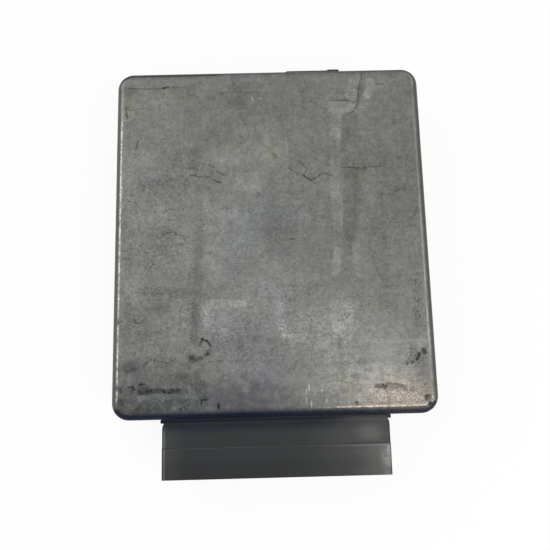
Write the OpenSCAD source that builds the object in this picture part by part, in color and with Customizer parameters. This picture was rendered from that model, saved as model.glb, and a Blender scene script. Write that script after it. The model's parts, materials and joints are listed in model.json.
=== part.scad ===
// Engine control unit: a die-cast tub closed by a pressed cover, with the circuit
// board hung under the tub's plain face and a wide pin header through its front wall.
// Millimetres. +Z points out of the plain face and -Y the way the header faces. The
// origin is the centre of the cover's raised panel, on which the unit rests.

/* [Housing] */
// Width of the housing
body_w = 165; // [155:1:190]
// Length of the housing, front wall to rear wall
body_l = 186; // [180:1:220]
// Overall height, from the cover's panel to the plain face
body_h = 40; // [38:0.5:50]
// Thickness of the side walls
wall = 2.5; // [2:0.1:3.5]
// Thickness of the plain face
roof = 3; // [2.4:0.1:4]
// Corner radius in plan
corner_r = 9; // [8:0.5:12]
// Radius of the rounded edge around the plain face
edge_r = 5.2; // [3:0.1:6]
// Diameter of the ball that made the nick at one corner
nick_d = 4.4; // [3:0.1:6]
// Depth of that nick below the plain face
nick_depth = 1.2; // [0.6:0.1:1.5]
// Distance of the nick from the housing's right side
nick_from_side = 5.9; // [5:0.1:9]
// Distance of the nick from the housing's front
nick_from_front = 7.7; // [6:0.1:9]

/* [Cover] */
// Thickness of the cover's sheet
sheet = 1.8; // [1.2:0.1:2.2]
// How far the raised panel stands below the cover's flange
panel_drop = 3; // [2.8:0.1:5]
// Pressing radius around the raised panel
panel_edge_r = 1.6; // [1:0.1:2]
// Corner radius of the raised panel
panel_corner_r = 8; // [5:0.5:12]
// Setback of the cover's edge from the housing's side
cover_setback = 0.4; // [0:0.1:1]
// Thickness of the sealing bead between cover and rim
seal_t = 0.6; // [0.4:0.1:1]

/* [Screws] */
// Diameter of the cover screws
cover_screw_d = 4; // [3.5:0.1:4.5]
// Length of the cover screws below the head
cover_screw_l = 12; // [8:0.5:16]
// Diameter of the cover screw heads
cover_head_d = 7.6; // [7:0.1:8.4]
// Height of the cover screw heads
cover_head_h = 2.2; // [1.8:0.1:2.6]
// Diameter of the screw bosses in the corners
boss_d = 9; // [8:0.1:10]
// Casting left between a boss and the outer corner
boss_skin = 1; // [0.8:0.1:1.4]
// Diameter of the board screws and header screws
board_screw_d = 3; // [2.5:0.1:3.2]
// Length of the board screws below the head
board_screw_l = 4.4; // [4:0.1:4.8]
// Diameter of the board screw heads
board_head_d = 5.6; // [5:0.1:6]
// Height of the board screw heads
board_head_h = 1.8; // [1.4:0.1:2]
// Length of the header screws below the head
header_screw_l = 10; // [7:0.5:11]
// Gap around a screw in its hole
screw_fit = 0.05; // [0.02:0.01:0.1]

/* [Header] */
// Outer width of the header's shroud
shroud_w = 115.6; // [112:0.2:124]
// Outer height of the shroud
shroud_h = 26; // [24:0.2:28]
// Wall thickness of the shroud
shroud_wall = 2.2; // [1.6:0.1:2.6]
// Corner radius of the shroud
shroud_r = 1.4; // [0.8:0.1:2]
// Reach of the shroud's mouth in front of the front wall
shroud_reach = 29.6; // [27:0.2:40]
// Length of the thicker rim at the mouth
rim_l = 15.3; // [10:0.1:19]
// Step up from the shroud to that rim
rim_step = 0.6; // [0.3:0.1:0.8]
// Overhang of the header's flange beside the opening in the wall
flange_side_lap = 2.5; // [2:0.1:5]
// Thickness of that flange
flange_t = 1.5; // [1:0.1:2.5]
// Overhang of the flange above the opening in the wall
flange_lap = 2.6; // [1.6:0.1:3]
// Thickness of the seal between flange and wall
flange_seal_t = 0.5; // [0.3:0.1:0.8]
// Depth of the groove between flange and shroud
neck_depth = 0.5; // [0.4:0.1:1.2]
// Width of that groove
neck_l = 1.1; // [0.8:0.1:3]
// Length of the chamfer at the shroud's sides, beside the groove
shroud_chamfer = 1.8; // [0.6:0.1:2.4]
// Depth of that chamfer
chamfer_depth = 0.4; // [0.2:0.1:0.4]
// Width of the opening in the front wall
port_w = 112; // [110:0.5:114]
// Height of the opening in the wall above the header's middle
port_rise = 11.2; // [10.6:0.1:11.8]
// Gap between the header and the edges it fits
header_fit = 0.15; // [0.1:0.05:0.3]
// Thickness of the flange inside the wall
inner_flange_t = 2.2; // [1.6:0.1:3]
// Overlap of that inner flange on the wall
inner_flange_lap = 1.6; // [1:0.1:2]
// Depth of the block that carries the pins behind it
block_l = 8.2; // [7:0.2:10]
// Drop from the board to the middle of the header
header_drop = 11.6; // [11.4:0.1:13]

/* [Pins] */
// Columns of pins on each side of the jack screw
pin_columns = 13; // [10:1:13]
// Rows of pins
pin_rows = 4; // [3:1:4]
// Spacing of the columns
pin_pitch = 3.6; // [3.2:0.05:3.65]
// Spacing of the rows
row_pitch = 4.5; // [4:0.1:4.6]
// Distance from the middle to the first column
first_pin_x = 8.5; // [8:0.1:9]
// Width of a pin
pin_w = 1.5; // [1.2:0.1:1.6]
// Thickness of a pin
pin_t = 0.8; // [0.6:0.05:0.9]
// Length of the pins inside the shroud
pin_reach = 9; // [6:0.5:12]
// Length of the taper at a pin's tip
pin_taper = 1.2; // [0.6:0.1:2]
// Gap around a pin in the header
pin_fit = 0.03; // [0.02:0.01:0.06]
// Spacing of the rows where the pins enter the board
tail_pitch = 3; // [2.8:0.1:4]

/* [Jack screw insert] */
// Outer diameter of the threaded insert
insert_d = 8; // [7:0.1:9]
// Diameter of its threaded hole
insert_bore = 5; // [4:0.1:6]
// Length of the insert
insert_l = 16; // [12:0.5:18]
// Diameter of the insert's collar
collar_d = 10; // [9.6:0.1:11]
// Thickness of the collar
collar_t = 1.5; // [1:0.1:2]
// Width of the tower that holds the insert
tower_w = 12.4; // [11.6:0.1:13.4]
// Height of the tower
tower_h = 18; // [14:0.5:20]
// Reach of the tower into the shroud
tower_reach = 10.5; // [8:0.5:13]

/* [Service port] */
// Width of the port's window in the rear wall
window_w = 27; // [20:0.5:40]
// Height of the window
window_h = 4.2; // [3.6:0.1:4.8]
// Offset of the port from the middle
window_x = 25; // [-30:1:30]
// Overlap of the cap on the wall around the window
cap_lap = 1.5; // [1:0.1:2]
// Thickness of the cap outside the wall
cap_t = 1.1; // [1:0.1:2.5]
// Further reach of the cap's finger lip
lip_reach = 0.5; // [0.4:0.1:1.5]
// Width of the finger lip
lip_w = 7; // [5:0.5:12]
// Gap around the cap's plug in the window
cap_fit = 0.1; // [0.05:0.05:0.2]

/* [Circuit board] */
// Thickness of the board
board_t = 1.6; // [1.2:0.1:2]
// Height of the posts between board and plain face
post_h = 3.5; // [3.2:0.1:4.5]
// Diameter of those posts
post_d = 7; // [6:0.1:8]
// Space between the side wall and the board's edge
side_space = 12.5; // [11.5:0.1:14]
// Space between the rear wall and the board's edge
rear_space = 3.5; // [2.5:0.1:5]
// Gap between the board and what it is set against
board_gap = 0.4; // [0.2:0.1:0.8]
// Distance of the corner posts from the board's edges
post_inset = 6.5; // [5:0.1:8]
// Distance of the front posts from the board's front edge, behind the header
front_post_inset = 18; // [17:0.5:20]
// Space between neighbouring parts on the board
part_gap = 3; // [2:0.1:3.4]
// Driver chips in the row behind the header
driver_count = 4; // [2:1:4]
// Spacing of the driver chips
driver_pitch = 28; // [22:0.5:29]
// Distance of the rear row of parts from the board's rear edge
rear_row_inset = 21; // [20:0.5:24]
// Distance of the outer columns of parts from the board's sides
side_row_inset = 25.5; // [22:0.5:28]

/* [Power stages] */
// Power transistors along each side
transistor_count = 5; // [3:1:5]
// Spacing of the transistors
transistor_pitch = 24; // [18:0.5:24]
// Thickness of the cast rail that cools them
rail_t = 4; // [3:0.1:4.5]
// Depth of the rail below the board
rail_drop = 20; // [19.6:0.1:21]
// Thickness of the insulating pads
pad_t = 0.25; // [0.15:0.05:0.5]
// Thickness of the clips' spring strip
clip_t = 0.6; // [0.4:0.05:0.8]
// Width of the clips
clip_w = 8; // [5:0.5:10]

/* [Hidden] */
$fn = 48;

// Small overlap that makes a cut pass right through or a boss root in the casting
root = 0.3;

// Heights of the cover, rim, board and header
flange_z = panel_drop;
flange_top = flange_z + sheet;
rim_z = flange_top + seal_t;
roof_z = body_h - roof;
board_top = roof_z - post_h;
board_z = board_top - board_t;
header_z = board_z - header_drop;

// Stations along the length, front to rear
front_y = -body_l / 2;
rear_y = body_l / 2;
mouth_y = front_y - shroud_reach;
flange_back = front_y - flange_seal_t;
flange_front = flange_back - flange_t;
floor_y = flange_front - neck_l;
tower_y = floor_y - tower_reach;
pin_tip_y = floor_y - pin_reach;
inner_y = front_y + wall + header_fit;
block_y = inner_y + inner_flange_t;
block_back = block_y + block_l;
board_front = block_y + board_gap;
board_rear = rear_y - wall - rear_space;
board_w = body_w - 2 * wall - 2 * side_space;
board_l = board_rear - board_front;

// Corner bosses and the cover's raised panel, which keeps clear of the screw heads
boss_reach = (corner_r - boss_d / 2 - boss_skin) / sqrt(2);
boss_x = body_w / 2 - corner_r + boss_reach;
boss_y = body_l / 2 - corner_r + boss_reach;
boss_at = [for (sx = [-1, 1], sy = [-1, 1]) [sx * boss_x, sy * boss_y]];
cover_screw_r = cover_screw_d / 2;
head_clear = 2.5;
panel_w = 2 * (boss_x - cover_head_d / 2 - head_clear);
panel_l = 2 * (boss_y - cover_head_d / 2 - head_clear);

// Header sections. The opening in the wall runs down to the rim, so that the header
// drops in with the board.
port_top = header_z + port_rise;
core_w = port_w - 2 * header_fit;
core_top = port_top - header_fit;
flange_w = port_w + 2 * flange_side_lap;
flange_z0 = rim_z;
flange_z1 = port_top + flange_lap;
neck_w = shroud_w - 2 * neck_depth;
neck_h = shroud_h - 2 * neck_depth;
inner_flange_w = port_w + 2 * inner_flange_lap;
inner_flange_z1 = port_top + inner_flange_lap;
cavity_w = shroud_w - 2 * shroud_wall;
cavity_h = shroud_h - 2 * shroud_wall;
key_w = 2;
key_h = 1.6;
key_at = [[-30, -1], [-22, -1], [38, -1], [14, 1], [-40, 1]];
last_pin_x = first_pin_x + (pin_columns - 1) * pin_pitch;
block_margin = 1.8;
block_w = 2 * (last_pin_x + block_margin);
block_z0 = header_z - (pin_rows - 1) / 2 * row_pitch - block_margin;
ear_w = 8;
ear_h = header_screw_l - board_t + 1.5;
ear_x = block_w / 2 + ear_w / 2;
ear_y = (block_y + block_back) / 2;
pin_xs = [for (side = [-1, 1], i = [0:pin_columns - 1])
    side * (first_pin_x + i * pin_pitch)];
tail_first = 2.5;
tail_protrusion = 1.2;
pin_hole_r = norm([pin_w, pin_t]) / 2 + 0.15;

// Service port, level with the board's tongue
window_z = board_z - 0.3;
cap_w = window_w + 2 * cap_lap;
cap_h = window_h + 2 * cap_lap;
tongue_w = window_w - 1.6;
tongue_y = rear_y - wall - root;
finger_pitch = 2.54;
finger_w = 1.5;
finger_l = 5;
finger_t = 0.1;
finger_count = floor((tongue_w - finger_w) / finger_pitch) + 1;

board_screw_r = board_screw_d / 2;
header_screw_at = [for (side = [-1, 1]) [side * ear_x, ear_y]];

// Power transistors, from the rail inwards
rail_x = board_w / 2 + board_gap;
rail_l = transistor_count * transistor_pitch;
rail_z = board_z - rail_drop;
tab_w = 10.2;
tab_h = 15.6;
tab_t = 1.3;
tab_hole_d = 3.6;
tab_hole_drop = 2.8;
moulding_t = 3.2;
moulding_h = 9.2;
lead_gap = 3.4;
lead_w = 0.8;
lead_t = 0.5;
transistor_lead_pitch = 2.54;
tab_x = rail_x - pad_t - tab_t;
moulding_x = tab_x - moulding_t;
moulding_z1 = board_z - lead_gap;
tab_z0 = moulding_z1 - tab_h;
lead_x = tab_x - 1;
clip_gap = 0.1;
clip_leg_h = 12;
pad_margin = 0.9;

// Sizes of the other components. Leads run through the board and stand a little proud.
processor_size = [28, 28, 3.6];
memory_size = [12, 24, 2.6];
driver_size = [7.5, 18, 2.4];
logic_size = [4, 9, 1.6];
gull_pitch = 1.27;
gull_out = 0.5;
gull_foot = 1.1;
gull_reach = gull_out + gull_foot;
gull_w = 0.42;
gull_t = 0.25;
chip_standoff = 0.2;
pin_mark_r = 0.6;
pin_mark_inset = 1.6;
lead_r = 0.4;
lead_hole_r = 0.55;
lead_proud = 1.2;
can_r = 6.2;
can_h = 20;
can_lead = 5;
film_size = [18, 7, 12];
film_lead = 15;
choke_r = 8.5;
choke_core_w = 5;
choke_h = 7;
choke_turns = 14;
choke_wire = 1;
choke_gap = 0.1;
choke_lead = 2 * (choke_r + choke_gap) + choke_core_w + choke_wire;
diode_r = 2.6;
diode_l = 9;
diode_lead = 14;
suppressor_r = 8;
suppressor_t = 4.4;
suppressor_lead = 7.5;
crystal_lead = 4.9;
crystal_size = [11, 4.6, 13];
chip_size = [3.2, 1.6, 0.6];
ceramic_size = [2, 1.25, 0.9];

function transistor_y(i) = (i - (transistor_count - 1) / 2) * transistor_pitch;
function row_z(row) = header_z + (row - (pin_rows + 1) / 2) * row_pitch;
function tail_y(row) = block_back + tail_first + (pin_rows - row) * tail_pitch;

// Rows of parts behind the header, each a gap from the one before, and the rear row
driver_depth = driver_size[0] + 2 * gull_reach;
resistor_y = tail_y(1) + pin_hole_r + part_gap + chip_size[0] / 2;
ceramic_y = resistor_y + chip_size[0] / 2 + part_gap + ceramic_size[0] / 2;
driver_y = ceramic_y + ceramic_size[0] / 2 + part_gap + driver_depth / 2;
driver_at = [for (i = [0:driver_count - 1])
    [(i - (driver_count - 1) / 2) * driver_pitch, driver_y]];
rear_row_y = board_rear - rear_row_inset;
left_x = -board_w / 2 + side_row_inset;
right_x = board_w / 2 - side_row_inset;
can_step = 2 * can_r + 2 * part_gap;
electrolytic_at = [[left_x, rear_row_y], [left_x + can_step, rear_row_y], [right_x, rear_row_y]];
suppressor_at = [[0, rear_row_y]];
diode_step = 2 * diode_r + lead_r;
first_diode_x = suppressor_r + diode_r + part_gap;
diode_at = [for (i = [0:2]) [first_diode_x + i * diode_step, rear_row_y]];

// The processor and what belongs with it, in the middle of the space that is left
free_y = (driver_y + driver_depth / 2 + rear_row_y - diode_lead / 2) / 2;
processor_reach = processor_size[0] / 2 + gull_reach;
processor_at = [-processor_reach / 2, free_y + part_gap + processor_reach];
memory_reach = memory_size[0] / 2 + gull_reach;
memory_at = [processor_at[0] + processor_reach + memory_reach + 4 * part_gap, processor_at[1]];
crystal_reach = crystal_size[0] / 2 + part_gap;
crystal_at = [[processor_at[0] - processor_reach - crystal_reach, processor_at[1]]];
choke_at = [left_x, free_y - choke_lead / 4];
film_step = film_size[1] + part_gap;
film_at = [for (i = [0:2]) [right_x, free_y - (i + 0.5) * film_step]];
logic_step = logic_size[1] + 2 * part_gap;
logic_y = free_y - 3 * film_step - logic_size[0] / 2 - gull_reach;
logic_at = [for (i = [-2:1]) [(i + 0.5) * logic_step, logic_y]];

// Posts that hold the board, near its corners and in the middle
post_at = concat(
    [for (side = [-1, 1]) [side * (board_w / 2 - post_inset), board_front + front_post_inset]],
    [for (side = [-1, 1]) [side * (board_w / 2 - post_inset), board_rear - post_inset]],
    [[0, free_y - post_d / 2]]);

// Where component leads pass through the board
function spread(places, gap, along) =
    [for (p = places, side = [-1, 1]) p + side * gap / 2 * along];
lead_at = concat(
    spread(electrolytic_at, can_lead, [1, 0]), spread(film_at, film_lead, [1, 0]),
    spread([choke_at], choke_lead, [1, 0]), spread(diode_at, diode_lead, [0, 1]),
    spread(suppressor_at, suppressor_lead, [1, 0]), spread(crystal_at, crystal_lead, [1, 0]));

// A rectangle with round corners, centred
module rounded_rect(w, l, r) {
    square([w - 2 * r, l], center = true);
    square([w, l - 2 * r], center = true);
    for (sx = [-1, 1], sy = [-1, 1])
        translate([sx * (w / 2 - r), sy * (l / 2 - r)]) circle(r);
}

// Half a section with a rounded top corner, on the positive side of its middle
module half_section(half, h, r) {
    intersection() {
        union() {
            square([half, h - r]);
            square([half - r, h]);
            translate([half - r, h - r]) circle(r);
        }
        square([half, h]);
    }
}

module whole_section(w, h, r) {
    half_section(w / 2, h, r);
    mirror([1, 0]) half_section(w / 2, h, r);
}

// A block with round corners in plan and a rounded edge around its top
module rounded_block(w, l, h, plan_r, top_r) {
    long = l - 2 * plan_r;
    wide = w - 2 * plan_r;
    translate([0, long / 2, 0]) rotate([90, 0, 0])
        linear_extrude(long) whole_section(w, h, top_r);
    translate([-wide / 2, 0, 0]) rotate([90, 0, 90])
        linear_extrude(wide) whole_section(l, h, top_r);
    for (turn = [0, 90, 180, 270]) {
        across = turn % 180 == 0 ? [wide, long] : [long, wide];
        rotate(turn) translate([across[0] / 2, across[1] / 2, 0])
            rotate_extrude(angle = 90) half_section(plan_r, h, top_r);
    }
}

// A rounded rectangle seen from the front, between two stations along the length
module slab(w, z0, z1, r, y0, y1) {
    translate([0, y1, (z0 + z1) / 2]) rotate([90, 0, 0])
        linear_extrude(y1 - y0) rounded_rect(w, z1 - z0, r);
}

// Six-lobe drive recess of a screw head
module drive_recess(r, depth) {
    points = [for (i = [0:11]) (i % 2 == 0 ? r : 0.72 * r) * [cos(30 * i), sin(30 * i)]];
    linear_extrude(depth) polygon(points);
}

// Pan-head screw, head down, with its bearing face at z = 0
module screw(d, length, head_d, head_h) {
    cylinder(d = d, h = length);
    mirror([0, 0, 1]) difference() {
        rotate_extrude() polygon([[0, 0], [head_d / 2, 0], [head_d / 2, 0.5 * head_h],
            [0.36 * head_d, head_h], [0, head_h]]);
        translate([0, 0, 0.45 * head_h]) drive_recess(0.25 * head_d, head_h);
    }
}

// Turns children over and hangs them from the board's underside
module under_board(place, turn = 0) {
    translate([place[0], place[1], board_z]) rotate([180, 0, 0]) rotate(turn) children();
}

// Leads that rise from a hanging component through the board
module through_leads(gap, along = [1, 0], start = 0) {
    for (side = [-1, 1]) {
        at = side * gap / 2 * along;
        translate([at[0], at[1], -board_t - lead_proud])
            cylinder(r = lead_r, h = board_t + lead_proud + start);
    }
}

// One power stage per place along both cast rails
module along_rails() {
    for (turn = [0, 180], i = [0:transistor_count - 1])
        rotate(turn) translate([0, transistor_y(i), 0]) children();
}

module cast_rail() {
    translate([rail_x, -rail_l / 2, rail_z]) cube([rail_t, rail_l, roof_z - rail_z + root]);
}

module housing() {
    tub_h = body_h - rim_z;
    inner_edge_r = max(edge_r - wall, 1);
    color([0.60, 0.60, 0.59]) difference() {
        union() {
            difference() {
                translate([0, 0, rim_z])
                    rounded_block(body_w, body_l, tub_h, corner_r, edge_r);
                translate([0, 0, rim_z - 1])
                    rounded_block(body_w - 2 * wall, body_l - 2 * wall, tub_h - roof + 1,
                        corner_r - wall, inner_edge_r);
                slab(port_w, rim_z - 1, port_top, root, front_y - 1, front_y + wall + 1);
                translate([window_x, 0, 0])
                    slab(window_w, window_z - window_h / 2, window_z + window_h / 2, root,
                        rear_y - wall - 1, rear_y + 1);
            }
            for (p = boss_at) translate([p[0], p[1], flange_top])
                cylinder(d = boss_d, h = roof_z - flange_top + root);
            for (p = post_at) translate([p[0], p[1], board_top])
                cylinder(d = post_d, h = post_h + root);
            for (turn = [0, 180]) rotate(turn) cast_rail();
        }
        for (p = boss_at) translate([p[0], p[1], flange_top - 1])
            cylinder(r = cover_screw_r + screw_fit, h = cover_screw_l + 1);
        for (p = post_at) translate([p[0], p[1], board_top - 1])
            cylinder(r = board_screw_r + screw_fit, h = board_screw_l - board_t + root + 1);
        nick();
    }
}

// A knock at the front right corner of the plain face
module nick() {
    translate([body_w / 2 - nick_from_side, front_y + nick_from_front,
        body_h - nick_depth + nick_d / 2]) sphere(d = nick_d);
}

module cover() {
    outline = [body_w - 2 * cover_setback, body_l - 2 * cover_setback];
    outline_r = corner_r - cover_setback;
    inner_r = max(panel_edge_r - sheet / 2, root);
    color([0.66, 0.66, 0.65]) difference() {
        union() {
            translate([0, 0, flange_z]) linear_extrude(sheet)
                rounded_rect(outline[0], outline[1], outline_r);
            translate([0, 0, flange_z + sheet / 2]) mirror([0, 0, 1])
                rounded_block(panel_w, panel_l, flange_z + sheet / 2, panel_corner_r,
                    panel_edge_r);
        }
        translate([0, 0, flange_top + 1]) mirror([0, 0, 1])
            rounded_block(panel_w - 2 * sheet, panel_l - 2 * sheet, flange_z + 1,
                panel_corner_r - sheet, inner_r);
        for (p = boss_at) translate([p[0], p[1], flange_z - 1])
            cylinder(r = cover_screw_r + 5 * screw_fit, h = sheet + 2);
    }
}

module cover_seal() {
    color([0.16, 0.16, 0.17]) translate([0, 0, flange_top]) linear_extrude(seal_t)
        difference() {
            rounded_rect(body_w - 2 * cover_setback, body_l - 2 * cover_setback,
                corner_r - cover_setback);
            rounded_rect(body_w - 2 * wall, body_l - 2 * wall, corner_r - wall);
            for (p = boss_at) translate(p) circle(d = boss_d);
        }
}

module cover_screws() {
    color([0.70, 0.69, 0.64]) for (p = boss_at) translate([p[0], p[1], flange_z])
        screw(cover_screw_d, cover_screw_l, cover_head_d, cover_head_h);
}

// Outer forms of the header, from the mouth to the block that carries the pins
module header_shell() {
    z0 = header_z - shroud_h / 2;
    z1 = header_z + shroud_h / 2;
    difference() {
        union() {
            slab(shroud_w, z0, z1, shroud_r, mouth_y, floor_y);
            slab(shroud_w, z0 - rim_step, z1 + rim_step, shroud_r, mouth_y, mouth_y + rim_l);
        }
        slab(cavity_w, header_z - cavity_h / 2, header_z + cavity_h / 2, shroud_r / 2,
            mouth_y - 1, floor_y - root);
        for (side = [0, 1]) mirror([side, 0, 0]) translate([shroud_w / 2, floor_y, z0 - 1])
            linear_extrude(shroud_h + 2) polygon([[1, 1], [-chamfer_depth, 1],
                [-chamfer_depth, 0], [0, -shroud_chamfer], [1, -shroud_chamfer]]);
    }
    slab(neck_w, header_z - neck_h / 2, header_z + neck_h / 2, shroud_r,
        floor_y - root, flange_front);
    slab(flange_w, flange_z0, flange_z1, shroud_r, flange_front, flange_back);
    slab(core_w, rim_z, core_top, root, flange_back, inner_y);
    slab(inner_flange_w, rim_z, inner_flange_z1, shroud_r, inner_y, block_y);
    slab(block_w, block_z0, board_z, root, block_y, block_back);
    for (p = header_screw_at) translate([p[0] - ear_w / 2, block_y, board_z - ear_h])
        cube([ear_w, block_l, ear_h]);
}

// Ribs inside the shroud that let the plug in one way round
module shroud_keys() {
    for (key = key_at) {
        wall_z = header_z + key[1] * cavity_h / 2;
        z0 = key[1] > 0 ? wall_z - key_h : wall_z - root;
        translate([key[0] - key_w / 2, mouth_y + rim_l / 4, z0])
            cube([key_w, floor_y - mouth_y - rim_l / 4, key_h + root]);
    }
}

module header() {
    color([0.22, 0.23, 0.24]) difference() {
        union() {
            header_shell();
            shroud_keys();
            slab(tower_w, header_z - tower_h / 2, header_z + tower_h / 2, shroud_r,
                tower_y, floor_y);
        }
        for (x = pin_xs, row = [1:pin_rows])
            translate([x - pin_w / 2 - pin_fit, floor_y - 1, row_z(row) - pin_t / 2 - pin_fit])
                cube([pin_w + 2 * pin_fit, block_back - floor_y + 2, pin_t + 2 * pin_fit]);
        translate([0, tower_y - 1, header_z]) rotate([-90, 0, 0])
            cylinder(r = insert_d / 2 + screw_fit, h = insert_l - collar_t + 1 + 2 * root);
        for (p = header_screw_at)
            translate([p[0], p[1], board_z - header_screw_l + board_t - root])
                cylinder(r = board_screw_r + screw_fit, h = header_screw_l);
    }
}

module header_seal() {
    color([0.16, 0.16, 0.17]) difference() {
        slab(flange_w - 2 * header_fit, flange_z0, flange_z1 - header_fit, shroud_r,
            flange_back, front_y);
        slab(core_w, rim_z - 1, core_top, root, flange_back - 1, front_y + 1);
    }
}

module header_screws() {
    color([0.70, 0.69, 0.64]) for (p = header_screw_at) translate([p[0], p[1], board_top])
        mirror([0, 0, 1]) screw(board_screw_d, header_screw_l, board_head_d, board_head_h);
}

// Threaded insert in the tower, with its collar against the tower's face
module jack_insert() {
    color([0.72, 0.56, 0.28]) translate([0, tower_y, header_z]) rotate([-90, 0, 0])
        difference() {
            union() {
                cylinder(d = insert_d, h = insert_l - collar_t);
                translate([0, 0, -collar_t]) cylinder(d = collar_d, h = collar_t);
            }
            translate([0, 0, -collar_t - 1]) cylinder(d = insert_bore, h = insert_l + 2);
        }
}

// One pin: a tapered blade, a bend, and a tail up through the board
module pin(row) {
    z = row_z(row);
    tail = tail_y(row);
    end = board_top + tail_protrusion;
    half = pin_t / 2;
    outline = [[pin_tip_y, z - half / 3], [pin_tip_y + pin_taper, z - half],
        [tail, z - half], [tail + half, z], [tail + half, end], [tail - half, end],
        [tail - half, z + half], [pin_tip_y + pin_taper, z + half],
        [pin_tip_y, z + half / 3]];
    rotate([90, 0, 90]) translate([0, 0, -pin_w / 2])
        linear_extrude(pin_w) polygon(outline);
}

module pin_row(row) {
    color([0.78, 0.75, 0.66]) for (x = pin_xs) translate([x, 0, 0]) pin(row);
}

// Cap of the service port: a plug in the window, a plate outside and a finger lip
module service_cap() {
    plug_h = window_h - 2 * cap_fit;
    lip_x = cap_w / 2 - lip_w / 2;
    color([0.12, 0.12, 0.11]) translate([window_x, 0, 0]) {
        slab(window_w - 2 * cap_fit, window_z - plug_h / 2, window_z + plug_h / 2, root,
            rear_y - wall, rear_y);
        slab(cap_w, window_z - cap_h / 2, window_z + cap_h / 2, cap_lap, rear_y,
            rear_y + cap_t);
        translate([lip_x, 0, 0])
            slab(lip_w, window_z - cap_h / 2, window_z + cap_h / 2, cap_lap,
                rear_y + cap_t - root, rear_y + cap_t + lip_reach);
    }
}

module port_fingers() {
    color([0.80, 0.66, 0.32]) for (i = [0:finger_count - 1], side = [0, 1])
        translate([window_x + (i - (finger_count - 1) / 2) * finger_pitch - finger_w / 2,
            tongue_y - finger_l, side == 0 ? board_z - finger_t : board_top])
            cube([finger_w, finger_l, finger_t]);
}

module circuit_board() {
    middle = (board_front + board_rear) / 2;
    color([0.13, 0.33, 0.20]) difference() {
        translate([0, 0, board_z]) linear_extrude(board_t) {
            translate([0, middle]) rounded_rect(board_w, board_l, 2);
            translate([window_x - tongue_w / 2, middle])
                square([tongue_w, tongue_y - middle]);
        }
        for (x = pin_xs, row = [1:pin_rows]) board_hole([x, tail_y(row)], pin_hole_r);
        for (p = concat(post_at, header_screw_at))
            board_hole(p, board_screw_r + 4 * screw_fit);
        for (p = lead_at) board_hole(p, lead_hole_r);
        along_rails() for (k = [-1:1])
            board_hole([lead_x, k * transistor_lead_pitch], lead_hole_r);
    }
}

module board_hole(place, r) {
    translate([place[0], place[1], board_z - 1]) cylinder(r = r, h = board_t + 2);
}

module board_screws() {
    color([0.70, 0.69, 0.64]) for (p = post_at) translate([p[0], p[1], board_z])
        screw(board_screw_d, board_screw_l, board_head_d, board_head_h);
}

// Metal tabs of the power transistors, with their three leads
module transistor_tabs() {
    color([0.72, 0.70, 0.66]) along_rails() {
        difference() {
            translate([tab_x, -tab_w / 2, tab_z0]) cube([tab_t, tab_w, tab_h]);
            translate([tab_x - 1, 0, tab_z0 + tab_hole_drop]) rotate([0, 90, 0])
                cylinder(d = tab_hole_d, h = tab_t + 2);
        }
        for (k = [-1:1])
            translate([lead_x - lead_t / 2, k * transistor_lead_pitch - lead_w / 2, moulding_z1])
                cube([lead_t, lead_w, board_top + lead_proud - moulding_z1]);
    }
}

module transistor_bodies() {
    bevel = 0.6;
    color([0.10, 0.10, 0.10]) along_rails()
        translate([0, 0, moulding_z1 - moulding_h]) linear_extrude(moulding_h)
            polygon([[tab_x, -tab_w / 2], [tab_x, tab_w / 2],
                [moulding_x + bevel, tab_w / 2], [moulding_x, tab_w / 2 - bevel],
                [moulding_x, -tab_w / 2 + bevel], [moulding_x + bevel, -tab_w / 2]]);
}

module thermal_pads() {
    color([0.75, 0.73, 0.68]) along_rails()
        translate([rail_x - pad_t, -tab_w / 2 - pad_margin, tab_z0])
            cube([pad_t, tab_w + 2 * pad_margin, tab_h]);
}

// Spring strip folded round the rail's free edge to press a transistor on it
module spring_clips() {
    outer = rail_x + rail_t + clip_gap;
    inner = moulding_x;
    low = rail_z - clip_gap - clip_t;
    color([0.50, 0.50, 0.50]) along_rails()
        rotate([90, 0, 0]) translate([0, 0, -clip_w / 2]) linear_extrude(clip_w)
            polygon([[inner - clip_t, low], [outer + clip_t, low],
                [outer + clip_t, low + clip_leg_h], [outer, low + clip_leg_h],
                [outer, low + clip_t], [inner, low + clip_t],
                [inner, low + clip_leg_h], [inner - clip_t, low + clip_leg_h]]);
}

// Moulded chip with a belt line round its middle, standing off the board
module chip_body(size) {
    bevel = 0.3;
    w = size[0];
    l = size[1];
    h = size[2];
    module belt(width, length) {
        translate([0, length / 2, chip_standoff]) rotate([90, 0, 0]) linear_extrude(length)
            polygon([[-width / 2 + bevel, 0], [width / 2 - bevel, 0], [width / 2, h / 2],
                [width / 2 - bevel, h], [-width / 2 + bevel, h], [-width / 2, h / 2]]);
    }
    difference() {
        intersection() {
            belt(w, l);
            rotate(90) belt(l, w);
        }
        translate([-w / 2 + pin_mark_inset, l / 2 - pin_mark_inset, chip_standoff + h - 0.2])
            cylinder(r = pin_mark_r, h = 1);
    }
}

// A row of gull-wing leads along both long sides of a chip
module chip_leads(size, count) {
    t = gull_t;
    w = size[0];
    z = chip_standoff + size[2] / 2;
    out = gull_out;
    for (side = [0, 180], i = [0:count - 1])
        rotate(side) translate([w / 2, (i - (count - 1) / 2) * gull_pitch, 0])
            rotate([90, 0, 0]) translate([0, 0, -gull_w / 2]) linear_extrude(gull_w)
                polygon([[0, z - t / 2], [out, z - t / 2], [out, 0], [gull_reach, 0],
                    [gull_reach, t], [out + t, t], [out + t, z + t / 2], [0, z + t / 2]]);
}

module processor() {
    color([0.11, 0.11, 0.12]) under_board(processor_at)
        chip_body(processor_size);
}

module processor_leads() {
    color([0.70, 0.70, 0.68]) under_board(processor_at) for (turn = [0, 90]) rotate(turn)
        chip_leads(processor_size, 21);
}

module memory_chip() {
    color([0.11, 0.11, 0.12]) under_board(memory_at)
        chip_body(memory_size);
}

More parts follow.
